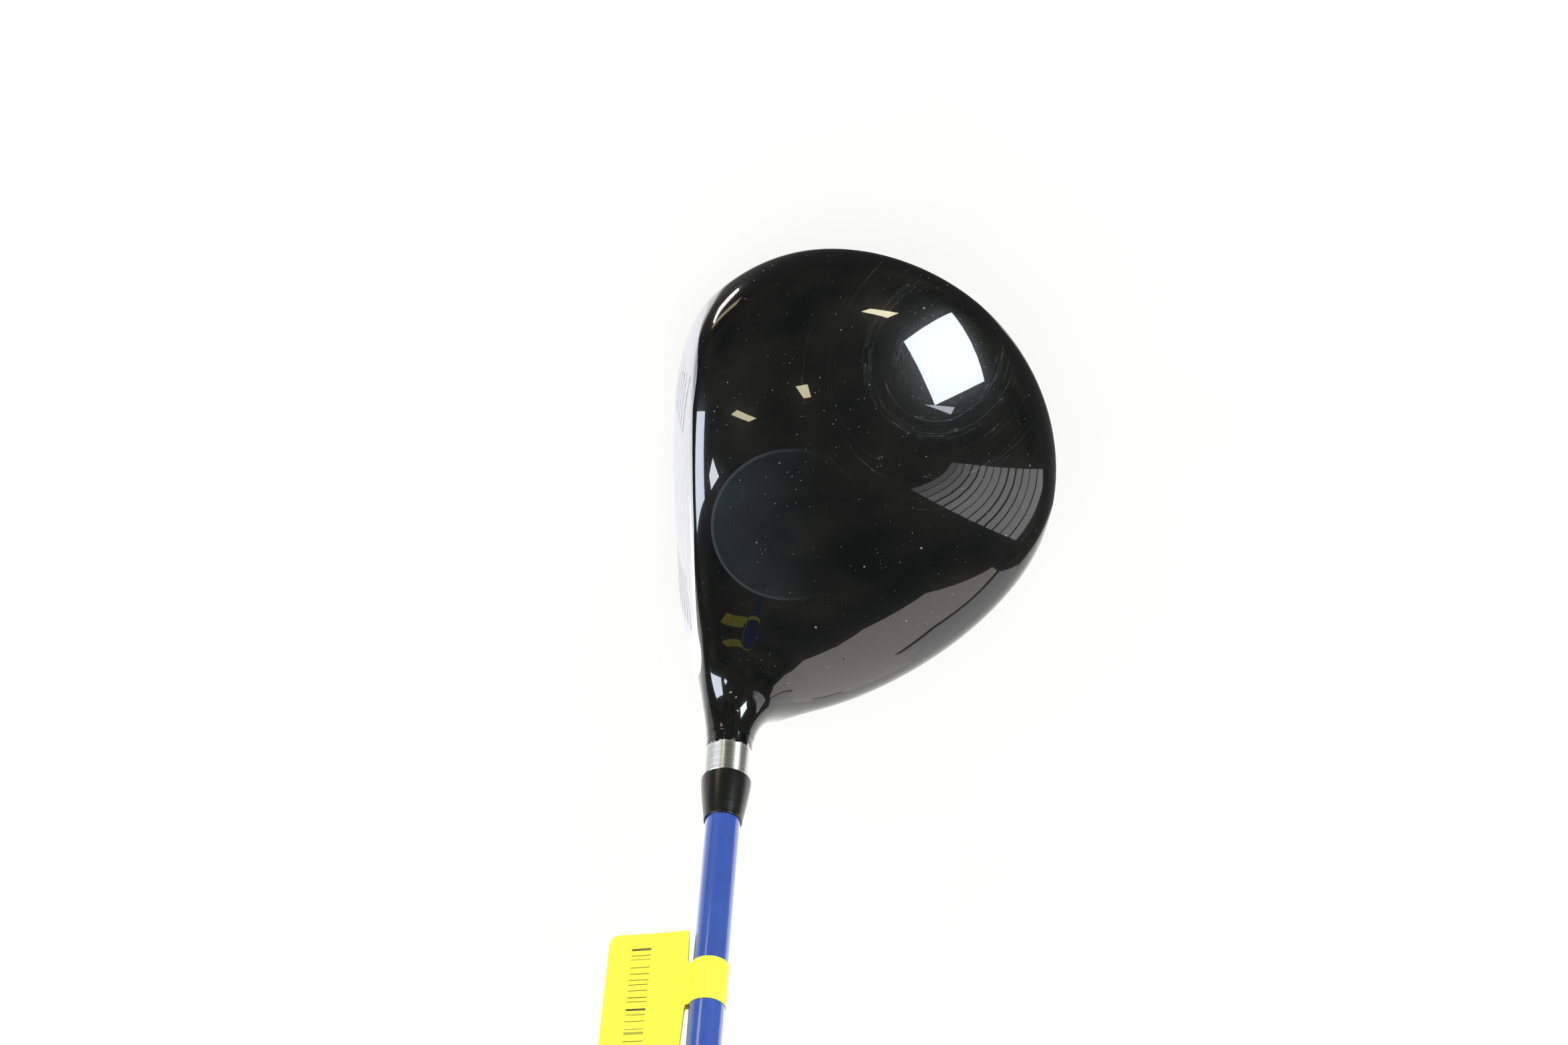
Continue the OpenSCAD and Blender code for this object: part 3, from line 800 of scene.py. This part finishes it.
class Look(Nodes):
    """A material with short calls for the nodes that it needs."""

    def __init__(self, name):
        self.material = bpy.data.materials.new(name)
        super().__init__(self.material, empty=False)
        place = self.node("TexCoord", out="Object")
        self.mm = self.node("VectorMath", {0: place, "Scale": 1 / MM}, operation="SCALE")

    def made(self, **inputs):
        """Feeds inputs of the surface, and gives the material."""
        surface = self.tree.nodes["Principled BSDF"]
        for name, value in inputs.items():
            self.feed(surface.inputs[name.replace("_", " ")], value)
        return self.material

    def vector(self, operation, a, b, out=0):
        return self.node("VectorMath", {0: a, 1: b}, out=out, operation=operation)

    def along_shaft(self):
        return self.vector("DOT_PRODUCT", self.mm, tuple(SHAFT_DIR.tolist()), out="Value")

    def axis(self, name):
        return self.node("SeparateXYZ", {0: self.mm}, out=name)

    def span(self, *limits):
        """A value's soft step from low to high, which gives 0 to 1 or two further numbers."""
        return self.node("MapRange", enumerate(limits), interpolation_type="SMOOTHSTEP")

    def noise(self, scale, detail=2.0, stretch=(1, 1, 1), rough=0.5, seed=0.0):
        where = self.vector("MULTIPLY", self.mm, stretch)
        inputs = {"Vector": where, "Scale": scale, "Detail": detail, "Roughness": rough, "W": seed}
        return self.node("TexNoise", inputs, noise_dimensions="4D")

    def noise_along(self, value, scale, detail=2.0):
        inputs = {"W": value, "Scale": scale, "Detail": detail}
        return self.node("TexNoise", inputs, noise_dimensions="1D")

    def mix(self, share, a, b):
        a, b = (v if isinstance(v, Wire) else (*v, 1) for v in (a, b))
        return self.node("Mix", {0: share, 6: a, 7: b}, out=2, data_type="RGBA")

    def grade(self, noise, low, high):
        """A number or a colour that follows a noise."""
        if isinstance(low, tuple):
            return self.mix(self.span(noise, 0.3, 0.7), low, high)
        return self.span(noise, 0.3, 0.7, low, high)

    def blend(self, share, a, b):
        """Mixes two numbers."""
        return self.math("SUBTRACT", b, a) * share + a

    def bump(self, height, depth_mm, strength=1.0, over=None):
        inputs = {"Height": height, "Strength": strength, "Distance": depth_mm * MM}
        if over is not None:
            inputs["Normal"] = over
        return self.node("Bump", inputs)

    def specks(self, cell, size, share, seed):
        """1 inside small scattered dots, of which only the given share of cells has one."""
        where = self.vector("ADD", self.mm, (seed, 2 * seed, 3 * seed))
        inputs = {"Vector": where, "Scale": 1 / cell}
        near = self.node("TexVoronoi", inputs, out="Distance")
        tint = self.node("TexVoronoi", inputs, out="Color")
        pick, grow = (self.node("SeparateXYZ", {0: tint}, out=axis) for axis in "XY")
        return (near < grow * (size / cell)) * (pick < share)


BLACK = (0.0035, 0.0037, 0.0040)
DISC_PLACE = (0.1, -8.8)
DISC_R = 19.8
# Where the crown mirrors the soft box; the scratches' painted highlights curve round it
SOFT_BOX_GLINT_PLACE = (-38.0, 29.0)


def flat_offset(look, place):
    """Offsets to the heel and to the back from an upright line, and the distance from it."""
    x, y = look.axis("X") - place[0], look.axis("Y") - place[1]
    return x, y, look.math("SQRT", x * x + y * y)


def on_top(look):
    """1 on the crown's side of the head and 0 on the sole's."""
    return look.span(look.axis("Z"), 27.0, 31.0)


def scratch_glint_arcs(look):
    """Painted highlights of fine hairline scratches: light arcs round the place where the crown mirrors
    the soft box.
    """
    x, y, far = flat_offset(look, SOFT_BOX_GLINT_PLACE)
    turn = look.math("ARCTAN2", y, x) * 0.9
    total = 0.0
    for count, thin, reach in ((1.6, 0.010, 30), (2.9, 0.012, 24), (0.9, 0.006, 42)):
        where = look.node("CombineXYZ", {0: turn, 1: far, 2: count})
        field = look.node("TexNoise", {"Vector": where, "Scale": count, "Detail": 0.0})
        gate = look.node("TexNoise", {"Vector": where, "Scale": 0.35, "Detail": 1.0})
        line = look.span(abs(field - 0.5), thin, 0.0) * look.span(gate, 0.5, 0.62)
        total = look.math("MAXIMUM", total, line * look.span(far, reach, 8.0))
    return total * on_top(look)


def dust_and_scratch_glints(look):
    """Dust, in drifts, and painted highlights of fine scratches, as a share from 0 to 1."""
    dust = look.specks(3.4, 0.34, 0.30, seed=3.1) * 0.5
    drift = look.span(look.noise(0.045, detail=2.0, seed=8.0), 0.42, 0.62, 0.15, 0.75)
    fine = look.specks(1.1, 0.14, 0.45, seed=17.7) * drift
    return look.math("MAXIMUM", look.math("MAXIMUM", dust, fine), scratch_glint_arcs(look) * 0.34)


def tonal_disc(look):
    """A round print under the gloss: a fine ring and a tint that fades towards the back."""
    far = flat_offset(look, DISC_PLACE)[2]
    shown = look.span(look.axis("Y"), 1.0, -27.0) * on_top(look)
    inside = far < DISC_R
    ring = (far > DISC_R - 0.7) * inside
    mottle = look.grade(look.noise(0.09, detail=3.0, seed=11.0), 0.6, 1.1)
    base = look.mix(inside * shown * mottle, BLACK, (0.014, 0.020, 0.023))
    return look.mix(ring * shown, base, (0.034, 0.042, 0.046))


def chipped_edge(look):
    """1 where the paint has broken away at the neck's end, over the bare metal."""
    bite = look.span(look.noise(0.9, detail=3.0, rough=0.7, seed=21.0), 0.42, 0.72, 0.0, 1.3)
    return (look.along_shaft() - float(RING @ SHAFT_DIR)) + bite > 0.0


def score_mask(look):
    """1 inside the score lines, which are coloured darker than the bare face."""
    x, z = abs(look.axis("X") - FACE_X), look.axis("Z") - FACE_Z
    ease = 0.3
    ends = look.span(x, SCORE_CLEAR, SCORE_CLEAR + ease) * look.span(x, SCORE_END, SCORE_END - ease)
    rows = abs(z) < SCORE_COUNT * SCORE_PITCH / 2
    cell = look.math("FRACT", z / SCORE_PITCH + 100.5)
    half = SCORE_WIDTH / SCORE_PITCH / 2
    return ends * rows * look.span(abs(cell - 0.5), half, half * 0.7)


def painted_metal(name):
    """Black lacquer, and in front of the paint line the bare face, brushed heel to toe."""
    look = Look(name)
    streak = look.noise(1.0, detail=3.0, stretch=(0.05, 2.4, 2.4), rough=0.6)
    silver = look.grade(streak, (0.72, 0.72, 0.765), (0.85, 0.85, 0.895))
    silver = look.mix(score_mask(look), silver, (0.42, 0.42, 0.44))
    paint = look.node("Attribute", attribute_name="paint", out="Fac")
    past = paint + look.grade(look.noise(0.5, seed=6.0), -0.012, 0.012)
    coated = (past > 0.0) * (1.0 - chipped_edge(look))
    bare = 1.0 - coated
    # Dust, and painted scratch highlights round the soft box's reflection, lighten the black lacquer
    dark = look.mix(dust_and_scratch_glints(look), tonal_disc(look), (0.5, 0.52, 0.55))
    brushed = look.bump(streak * bare, 0.003)
    return look.made(
        Coat_Roughness=0.012, Coat_IOR=1.5,
        Base_Color=look.mix(coated, silver, dark),
        Metallic=bare, Coat_Weight=coated, Specular_IOR_Level=coated * 0.08,
        Roughness=look.blend(coated, 0.34, 0.2),
        Normal=look.bump(look.span(past, -0.12, 0.12), 0.05, over=brushed),
        Coat_Normal=look.bump(look.noise(0.3, detail=1.0, seed=5.0), 0.002),
    )


def ring_steel():
    """Turned steel: its fine grooves draw each reflection out along the shaft."""
    look = Look("ring_steel")
    line = look.noise_along(look.along_shaft(), 2.2, detail=3.0)
    grime = look.noise(0.8, detail=4.0, stretch=(1, 1, 0.4), rough=0.7, seed=2.0)
    clean = look.grade(line, (0.60, 0.59, 0.57), (0.78, 0.77, 0.75))
    return look.made(
        Metallic=1.0, Anisotropic=0.9,
        Base_Color=look.mix(look.span(grime, 0.62, 0.8), clean, (0.36, 0.34, 0.31)),
        Tangent=look.node("CombineXYZ", {0: SHAFT_DIR[0], 1: 0.0, 2: SHAFT_DIR[2]}),
        Roughness=look.grade(line, 0.32, 0.40),
        Normal=look.bump(line, 0.0004),
    )


def dimmed(color, share=0.7):
    return tuple(c * share for c in color)


def disc_steel(name, color, rough, place):
    """Metal with circular turning marks round an upright axis."""
    look = Look(name)
    here = look.node("CombineXYZ", {0: look.axis("X"), 1: look.axis("Y")})
    far = look.vector("DISTANCE", here, (*place, 0.0), out="Value")
    line = look.noise_along(far, 4.0, detail=3.0)
    wear = look.noise(0.25, detail=5.0, seed=3.0)
    return look.made(
        Metallic=1.0,
        Base_Color=look.grade(line, dimmed(color), color),
        Roughness=look.span(wear, 0.35, 0.7, rough * 0.8, rough * 1.6),
        Normal=look.bump(line, 0.01, strength=0.7),
    )


def cast_metal(name, color):
    look = Look(name)
    grain = look.noise(2.0, detail=5.0)
    blotch = look.noise(0.2, detail=3.0, seed=4.0)
    return look.made(
        Metallic=1.0,
        Base_Color=look.grade(blotch, dimmed(color, 0.65), color),
        Roughness=look.grade(grain, 0.4, 0.62),
        Normal=look.bump(grain, 0.06, strength=0.8),
    )


def collar_plastic():
    """Polished black plastic with a little dust."""
    black = (0.006, 0.006, 0.006)
    look = Look("collar_plastic")
    buff = look.noise_along(look.along_shaft(), 1.3)
    dust = look.specks(1.1, 0.06, 0.2, seed=9.0) * 0.3
    return look.made(
        Base_Color=look.mix(dust, black, (0.4, 0.4, 0.4)),
        Roughness=look.grade(buff, 0.25, 0.29),
        Normal=look.bump(buff, 0.0003, strength=0.6),
    )


def blue_lacquer():
    """Blue paint with a fine metallic sparkle under clear lacquer."""
    blue, deep = (0.030, 0.095, 0.47), (0.026, 0.082, 0.41)
    look = Look("blue_lacquer")
    flake = look.noise(6.0, detail=2.0, seed=1.0)
    color = look.grade(look.noise(0.08, detail=2.0, seed=2.0), deep, blue)
    dust = look.specks(2.2, 0.12, 0.15, seed=7.0) * 0.6
    return look.made(
        Coat_Weight=1.0, Coat_Roughness=0.03,
        Base_Color=look.mix(dust, color, (0.7, 0.75, 0.8)),
        Roughness=look.grade(flake, 0.26, 0.40),
        Coat_Normal=look.bump(look.noise(0.6, seed=3.0), 0.0006),
    )


def grip_rubber():
    look = Look("grip_rubber")
    grain = look.noise(3.0, detail=4.0)
    wear = look.span(look.noise(0.08, detail=3.0, seed=2.0), 0.4, 0.75)
    return look.made(
        Base_Color=look.mix(wear, (0.018, 0.018, 0.019), (0.04, 0.04, 0.042)),
        Roughness=look.grade(grain, 0.62, 0.85),
        Normal=look.bump(grain, 0.03, strength=0.9),
    )


def printed_bars(look):
    """A plain block of bars of uneven width and tone, which carries no meaning."""
    layout = look.node("Attribute", attribute_name="layout", out="Vector")
    out, along = (look.node("SeparateXYZ", {0: layout}, out=axis) for axis in "XY")
    cell = along * 0.56
    bar = look.math("FLOOR", cell)
    pick, shift, tone = (
        look.node("TexWhiteNoise", {"W": bar + seed}, noise_dimensions="1D")
        for seed in (0.0, 0.71, 0.37)
    )
    centre = look.span(shift, 0.0, 1.0, 0.28, 0.72)
    width = look.math("POWER", pick, 5.0) * 0.2 + 0.06
    inked = (abs(look.math("FRACT", cell) - centre) < width) * look.span(tone, 0.0, 1.0, 0.5, 0.95)
    middle, half_width, half_length = 11.35, 2.35, 14.5
    return inked * (abs(out - middle) < half_width) * (abs(along) < half_length)


def tag_paper():
    """Bright yellow paper with a faint fibre and a printed block."""
    look = Look("tag_paper")
    fibre = look.noise(3.0, detail=4.0)
    paper = look.grade(fibre, (0.91, 0.87, 0.030), (0.98, 0.96, 0.06))
    return look.made(
        Base_Color=look.mix(printed_bars(look), paper, (0.04, 0.035, 0.02)),
        Roughness=look.grade(fibre, 0.5, 0.7),
        Normal=look.bump(fibre, 0.01, strength=0.6),
    )


def cured_resin(name, color, rough=0.35):
    look = Look(name)
    flow = look.noise(0.6, detail=3.0)
    height = flow + look.specks(1.6, 0.3, 0.4, seed=2.0) * 0.4
    return look.made(
        Roughness=rough, Subsurface_Weight=0.1, Coat_Weight=0.3,
        Base_Color=look.grade(flow, dimmed(color), color),
        Normal=look.bump(height, 0.1, strength=0.6),
    )


def soft_foam():
    look = Look("soft_foam")
    cells = look.node("TexVoronoi", {"Vector": look.mm, "Scale": 2.2}, out="Distance")
    return look.made(
        Roughness=0.9,
        Base_Color=look.mix(look.span(cells, 0.1, 0.6), (0.5, 0.5, 0.47), (0.78, 0.78, 0.74)),
        Normal=look.bump(cells, 0.15),
    )


def crepe_tape():
    look = Look("crepe_tape")
    crepe = look.noise_along(look.along_shaft(), 1.6, detail=3.0)
    fibre = look.noise(2.5, detail=4.0)
    return look.made(
        Roughness=0.85,
        Base_Color=look.grade(fibre, (0.68, 0.63, 0.5), (0.82, 0.78, 0.65)),
        Normal=look.bump(crepe + fibre, 0.05),
    )


def seal_rubber():
    look = Look("seal_rubber")
    grain = look.noise(4.0, detail=3.0)
    return look.made(
        Roughness=look.grade(grain, 0.45, 0.75),
        Base_Color=look.mix(grain, (0.012, 0.012, 0.012), (0.04, 0.04, 0.04)),
        Normal=look.bump(grain, 0.02),
    )


# ---- putting the club together


def paint_line_depth(x):
    """How far behind the face the black paint starts. It leaves room for the toe's oval."""
    heel = 0.03 * np.maximum(0, x) + 0.03 * np.maximum(0, x - 33) ** 2
    toe = 0.8 * fade((-27 - x) / 11) + 3.5 * fade((-38 - x) / 9)
    return 2.3 + toe - heel


def paint_attribute(piece):
    """Marks how far each point of a piece lies outside the bare part of the face."""
    p = np.array([v.co for v in piece.data.vertices]) / MM
    x, z = p[:, 0], p[:, 2]
    oval = np.hypot((x - BARE_X) / BARE_A, (z - FACE_Z) / BARE_B) * BARE_B - BARE_B
    toe = np.where(x < BARE_X, oval, -BARE_B) - 30 * fade((x + 34) / 14)
    value = np.maximum(behind_face(p) - paint_line_depth(x), np.maximum((x - 46) * 0.6, toe))
    layer = piece.data.attributes.new("paint", "FLOAT", "POINT")
    layer.data.foreach_set("value", value.astype(np.float32))


def dress(obj, material):
    obj.data.materials.clear()
    obj.data.materials.append(material)


def place_piece(obj, node, material):
    dress(obj, material)
    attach(obj, "club")
    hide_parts(node)


def build_club():
    crown, body, face = head_pieces()
    for piece in (crown, body, face):
        paint_attribute(piece)
    rubber = grip_rubber()
    place_piece(crown, "crown", painted_metal("crown_finish"))
    place_piece(body, "body", painted_metal("body_finish"))
    place_piece(face, "face_plate", painted_metal("face_finish"))
    place_piece(hosel_ring(), "hosel_tube", ring_steel())
    place_piece(ferrule(), "ferrule", collar_plastic())
    place_piece(painted_shaft(), "shaft", blue_lacquer())
    place_piece(rubber_grip(), "grip", rubber)
    place_piece(butt_cap(), "grip_cap", rubber)
    place_piece(paper_tag(), "shaft_tag", tag_paper())
    plate = disc_steel("wear_steel", (0.66, 0.66, 0.68), 0.3, (0, 0))
    place_piece(wear_plate(), "sole_plate", plate)


def dress_cad_nodes():
    """The small hidden and turned parts keep their CAD meshes."""
    port = (0, PORT[1])
    cast = cast_metal("cast_pad", (0.5, 0.5, 0.52))
    resin = cured_resin("cured_epoxy", (0.74, 0.66, 0.42))
    foam = soft_foam()
    looks = {
        "crown_bond": resin,
        "shaft_epoxy": resin,
        "rattle_glue": cured_resin("soft_glue", (0.8, 0.66, 0.3), 0.2),
        "toe_weight": cast,
        "heel_weight": cast,
        "weight_port": disc_steel("port_steel", (0.58, 0.58, 0.6), 0.34, port),
        "weight_screw": disc_steel("screw_steel", (0.72, 0.72, 0.74), 0.25, port),
        "weight_core": cast_metal("tungsten", (0.36, 0.36, 0.38)),
        "weight_seal": seal_rubber(),
        "hosel_plug": foam,
        "tip_plug": foam,
        "grip_tape": crepe_tape(),
    }
    for node, material in looks.items():
        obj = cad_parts[node]
        dress(obj, material)
        smooth(obj.data, SHARP)


# ---- camera, floor and light

TARGET = np.array([0.0, 0.0, 30.0])
VIEW_DISTANCE = 1050
VIEW_TILT = math.radians(19.35)
VIEW_LEAN = math.radians(4.74)
VIEW_ROLL = math.radians(0.74)
VIEW_SHIFT = (12.5, 8.1)
LENS = 93.8
SENSOR = 36


def view_axes():
    """Right, up and backward directions of the camera."""
    tilt_c, tilt_s, lean_c = math.cos(VIEW_TILT), math.sin(VIEW_TILT), math.cos(VIEW_LEAN)
    back = np.array([-tilt_s * lean_c, math.sin(VIEW_LEAN), tilt_c * lean_c])
    up = np.array([-tilt_c, 0.0, -tilt_s])
    up = unit(up - back * (up @ back))
    right = np.cross(up, back)
    c, s = math.cos(VIEW_ROLL), math.sin(VIEW_ROLL)
    return right * c + up * s, up * c - right * s, back


def camera_place():
    right, up, back = view_axes()
    return TARGET + back * VIEW_DISTANCE - right * VIEW_SHIFT[0] - up * VIEW_SHIFT[1]


def add_camera():
    right, up, back = view_axes()
    data = bpy.data.cameras.new("camera")
    data.lens = LENS
    data.sensor_width = SENSOR
    data.clip_start = 0.01
    data.clip_end = 50
    obj = linked("camera", data)
    matrix = np.eye(4)
    matrix[:3, :3] = np.stack([right, up, back], axis=1)
    matrix[:3, 3] = camera_place() * MM
    obj.matrix_world = Matrix(matrix.tolist())
    bpy.context.scene.camera = obj


def crown_at(x, y):
    """The crown's point and normal straight above a place on the ground."""
    low, high = crown_height(x, y) - 14, crown_height(x, y) + 2
    for _ in range(30):
        mid = (low + high) / 2
        if head_gap(np.array([x, y, mid])) > 0:
            high = mid
        else:
            low = mid
    p = np.array([x, y, high])
    return p, unit(gradient(p))


def mirrored(spots, distance):
    """Where the camera's rays go after the crown mirrors them at these places."""
    ends = []
    for spot in spots:
        p, n = crown_at(*spot)
        ray = unit(p - camera_place())
        ends.append(p + distance * (ray - 2 * (ray @ n) * n))
    return ends


def glow(name, color, strength):
    material = bpy.data.materials.new(name)
    nodes = Nodes(material)
    light = nodes.node("Emission", {0: (*color, 1), 1: strength})
    nodes.node("OutputMaterial", {0: light})
    return material


def card(name, points, faces, color, strength):
    """A bright surface that shows only in reflections."""
    obj = linked(name, new_mesh(name, points, faces))
    obj.data.materials.append(glow(name, color, strength))
    obj.visible_camera = False
    obj.visible_diffuse = False
    obj.visible_shadow = False


def ribbon(name, one, other, color, strength):
    """A bent card between two rows of points."""
    n = len(one)
    faces = [[k, k + 1, n + k + 1, n + k] for k in range(n - 1)]
    card(name, one + other, faces, color, strength)


def seen_card(name, spots, distance, color, strength):
    """A card that the crown mirrors to the camera at these places."""
    card(name, mirrored(spots, distance), [list(range(len(spots)))], color, strength)


def seen_ribbon(name, inner, outer, distance, color, strength):
    """A bent card whose two long edges the crown mirrors along two rows of places."""
    ribbon(name, mirrored(inner, distance), mirrored(outer, distance), color, strength)


def wall_card(name, azimuth, distance, half_width, low, high, color, strength):
    """An upright card that faces the club, from low up to the two heights of its top corners."""
    a = math.radians(azimuth)
    middle = distance * np.array([math.cos(a), math.sin(a), 0.0])
    side = half_width * np.array([-math.sin(a), math.cos(a), 0.0])
    ends = ((-1, low), (1, low), (1, high[1]), (-1, high[0]))
    corners = [middle + sign * side + [0, 0, z] for sign, z in ends]
    card(name, corners, [[0, 1, 2, 3]], color, strength)


WINDOW = (0.88, 0.95, 1.0)
LAVENDER = (0.80, 0.86, 1.0)
LAMP = (1.0, 0.93, 0.62)
GREY = (0.98, 0.98, 1.0)
WARM_GREY = (1.0, 0.98, 0.93)


def soft_boxes():
    seen_card("soft_box", [(-43, 19), (-48.2, 30.7), (-31.6, 39.2), (-27.6, 27)], 900, WINDOW, 24)
    seen_card("soft_box_foot", [(-28, 24.5), (-26.5, 31.9), (-24.9, 31)], 900, LAVENDER, 11)
    seen_card("face_box", [(-28, -32.2), (-28.3, -30.1), (-7, -30.1), (2, -32.2)], 1000, LAVENDER, 17)


def lamps():
    """Ceiling lamps, and two small warm ones by the toe."""
    far = 1500
    seen_card("lamp_far", [(-50.4, 8.3), (-50.9, 10.5), (-49.4, 17.7), (-48.6, 14.9)], far, LAMP, 20)
    seen_card("lamp_mid", [(-34.3, -7.5), (-34.7, -4.5), (-31.7, -3.6), (-31.5, -5.4)], far, LAMP, 13)
    seen_card("lamp_near", [(-27.8, -23.5), (-28.9, -22), (-27, -17.1), (-26.2, -19)], far, LAMP, 12)
    seen_card("lamp_leaf", [(-17.3, -28), (-12.8, -26.4), (-9.4, -28.4), (-13, -28.9)], far, WINDOW, 17)
    inner = [(-47.9, -28.5), (-50.5, -27.1), (-53.2, -24.6), (-55.0, -22.6)]
    outer = [(-48.1, -28.8), (-51.0, -27.5), (-53.6, -25.0), (-55.3, -22.9)]
    seen_ribbon("toe_strip", inner, outer, 58, (1.0, 0.97, 0.80), 22)
    wall_card("toe_lamp", -145, 700, 95, 50, (135, 135), (1.0, 0.93, 0.60), 4.5)


def slat_side(t):
    """One side of a slat, from the sheet's far edge to its near one, slightly bowed."""
    corners = np.array([[(-13.3, 31.0), (-7.2, 54.3)], [(-8.0, 20.8), (10.0, 47.3)]])
    far, near = corners[:, 0] + (corners[:, 1] - corners[:, 0]) * t
    bow = np.array([2.8, 6.8])
    return [far + (near - far) * u + bow * u * (1 - u) for u in steps(0, 1, 4)]


def grey_walls():
    """A slatted grey sheet behind the club, and pale walls on its heel side, of which the
    bench hangs down to the floor."""
    count = 13
    for k in range(count):
        tone = 1.3 + 1.4 * min(1, k / 4)
        sides = slat_side((k + 0.18 + 0.07 * math.sin(5 * k)) / count), slat_side((k + 1) / count)
        seen_ribbon(f"sheet_{k + 1}", *sides, 1000, GREY, tone)
    inner = [(50, -12), (43.3, -7.5), (35.4, 0.5), (29.5, 9.1), (20.8, 24.7), (16.3, 41.4)]
    outer = [(54.3, -8.1), (48.8, 2.3), (39.9, 14.5), (31.1, 26.4), (23.9, 36.5), (17.5, 42.6)]
    seen_ribbon("heel_wall", inner, outer, 1000, WARM_GREY, 2.3)
    wall_card("heel_end", 4, 1000, 190, 60, (400, 590), WARM_GREY, 2.3)
    top = mirrored([(49.2, 2.6), (40.4, 15.0), (31.6, 26.9), (24.3, 37.0), (17.9, 43.2)], 1000)
    ribbon("heel_bench", top, [p * [1, 1, 0] + [0, 0, 2] for p in top], GREY, 2.0)


def soft_light(name, place, size, color, power):
    data = bpy.data.lights.new(name, "AREA")
    data.shape = "SQUARE"
    data.size = size * MM
    data.color = color
    data.energy = power
    obj = linked(name, data)
    obj.location = Vector(place) * MM
    aim = Vector((0.05, 0, 0.1)) - obj.location
    obj.rotation_euler = aim.to_track_quat("-Z", "Y").to_euler()
    obj.visible_glossy = False


PALE = (1.0, 0.998, 0.985, 1)


def floor_material():
    """A pale sheet. Reflections show it brighter, though less so in front of the club, and dark
    beyond an edge just past the toe and the back."""
    look = Look("pale_sheet")
    x, y = look.axis("X"), look.axis("Y")
    off = y - 5.0
    edge = look.math("MINIMUM", off * off * 0.0114 - 70.0, -52.0)
    toe = look.span(x - edge, -2.0, 3.0)
    reach = look.math("MAXIMUM", x - 15.0, 0.0) * 1.2
    back = look.span(y - reach, 68.0, 62.0)
    front = look.span(y, 5.0, -15.0) * look.span(x, 68.0, 54.0)
    sheet = look.blend(toe * back, 0.15, look.blend(front, 1.7, 0.98))
    grain = look.grade(look.noise(0.02, detail=3.0), 0.985, 1.0)
    glossy = look.node("LightPath", out="Is Glossy Ray")
    return look.made(
        Roughness=1.0, Specular_IOR_Level=0.0,
        Base_Color=look.mix(1.0 - glossy, (0.0, 0.0, 0.0), (0.16, 0.16, 0.157)),
        Emission_Color=PALE,
        Emission_Strength=look.blend(glossy, grain * 0.84, sheet),
    )


def add_floor():
    half = 25000
    corners = [(-half, -half, 0), (half, -half, 0), (half, half, 0), (-half, half, 0)]
    obj = linked("floor", new_mesh("floor", corners, [(0, 1, 2, 3)]))
    obj.data.materials.append(floor_material())


def add_world():
    """Pale to the camera and to matt surfaces, and a dim uneven room in reflections."""
    world = bpy.data.worlds.new("room")
    bpy.context.scene.world = world
    room = Nodes(world)
    pale = room.node("Background", {0: PALE, 1: 1.0})
    around = room.node("TexCoord", out="Generated")
    ramp = room.tree.nodes.new("ShaderNodeValToRGB")
    room.feed(ramp.inputs[0], room.node("TexNoise", {"Vector": around, "Scale": 3.2, "Detail": 4.0}))
    tones = ((0.36, (0.05, 0.062, 0.055, 1)), (0.68, (0.25, 0.25, 0.205, 1)))
    for stop, (place, color) in zip(ramp.color_ramp.elements, tones):
        stop.position = place
        stop.color = color
    dim = room.node("Background", {0: Wire(room, ramp.outputs[0])})
    glossy = room.node("LightPath", out="Is Glossy Ray")
    room.node("OutputWorld", {0: room.node("MixShader", {0: glossy, 1: pale, 2: dim})})


def add_lights():
    soft_light("key", (-700, 500, 1300), 900, (1.0, 0.99, 0.96), 5)
    soft_light("fill", (600, -900, 900), 1000, (0.93, 0.95, 1.0), 3)


build_club()
dress_cad_nodes()
add_camera()
add_floor()
add_world()
soft_boxes()
lamps()
grey_walls()
add_lights()
bpy.context.scene.view_settings.view_transform = "Standard"
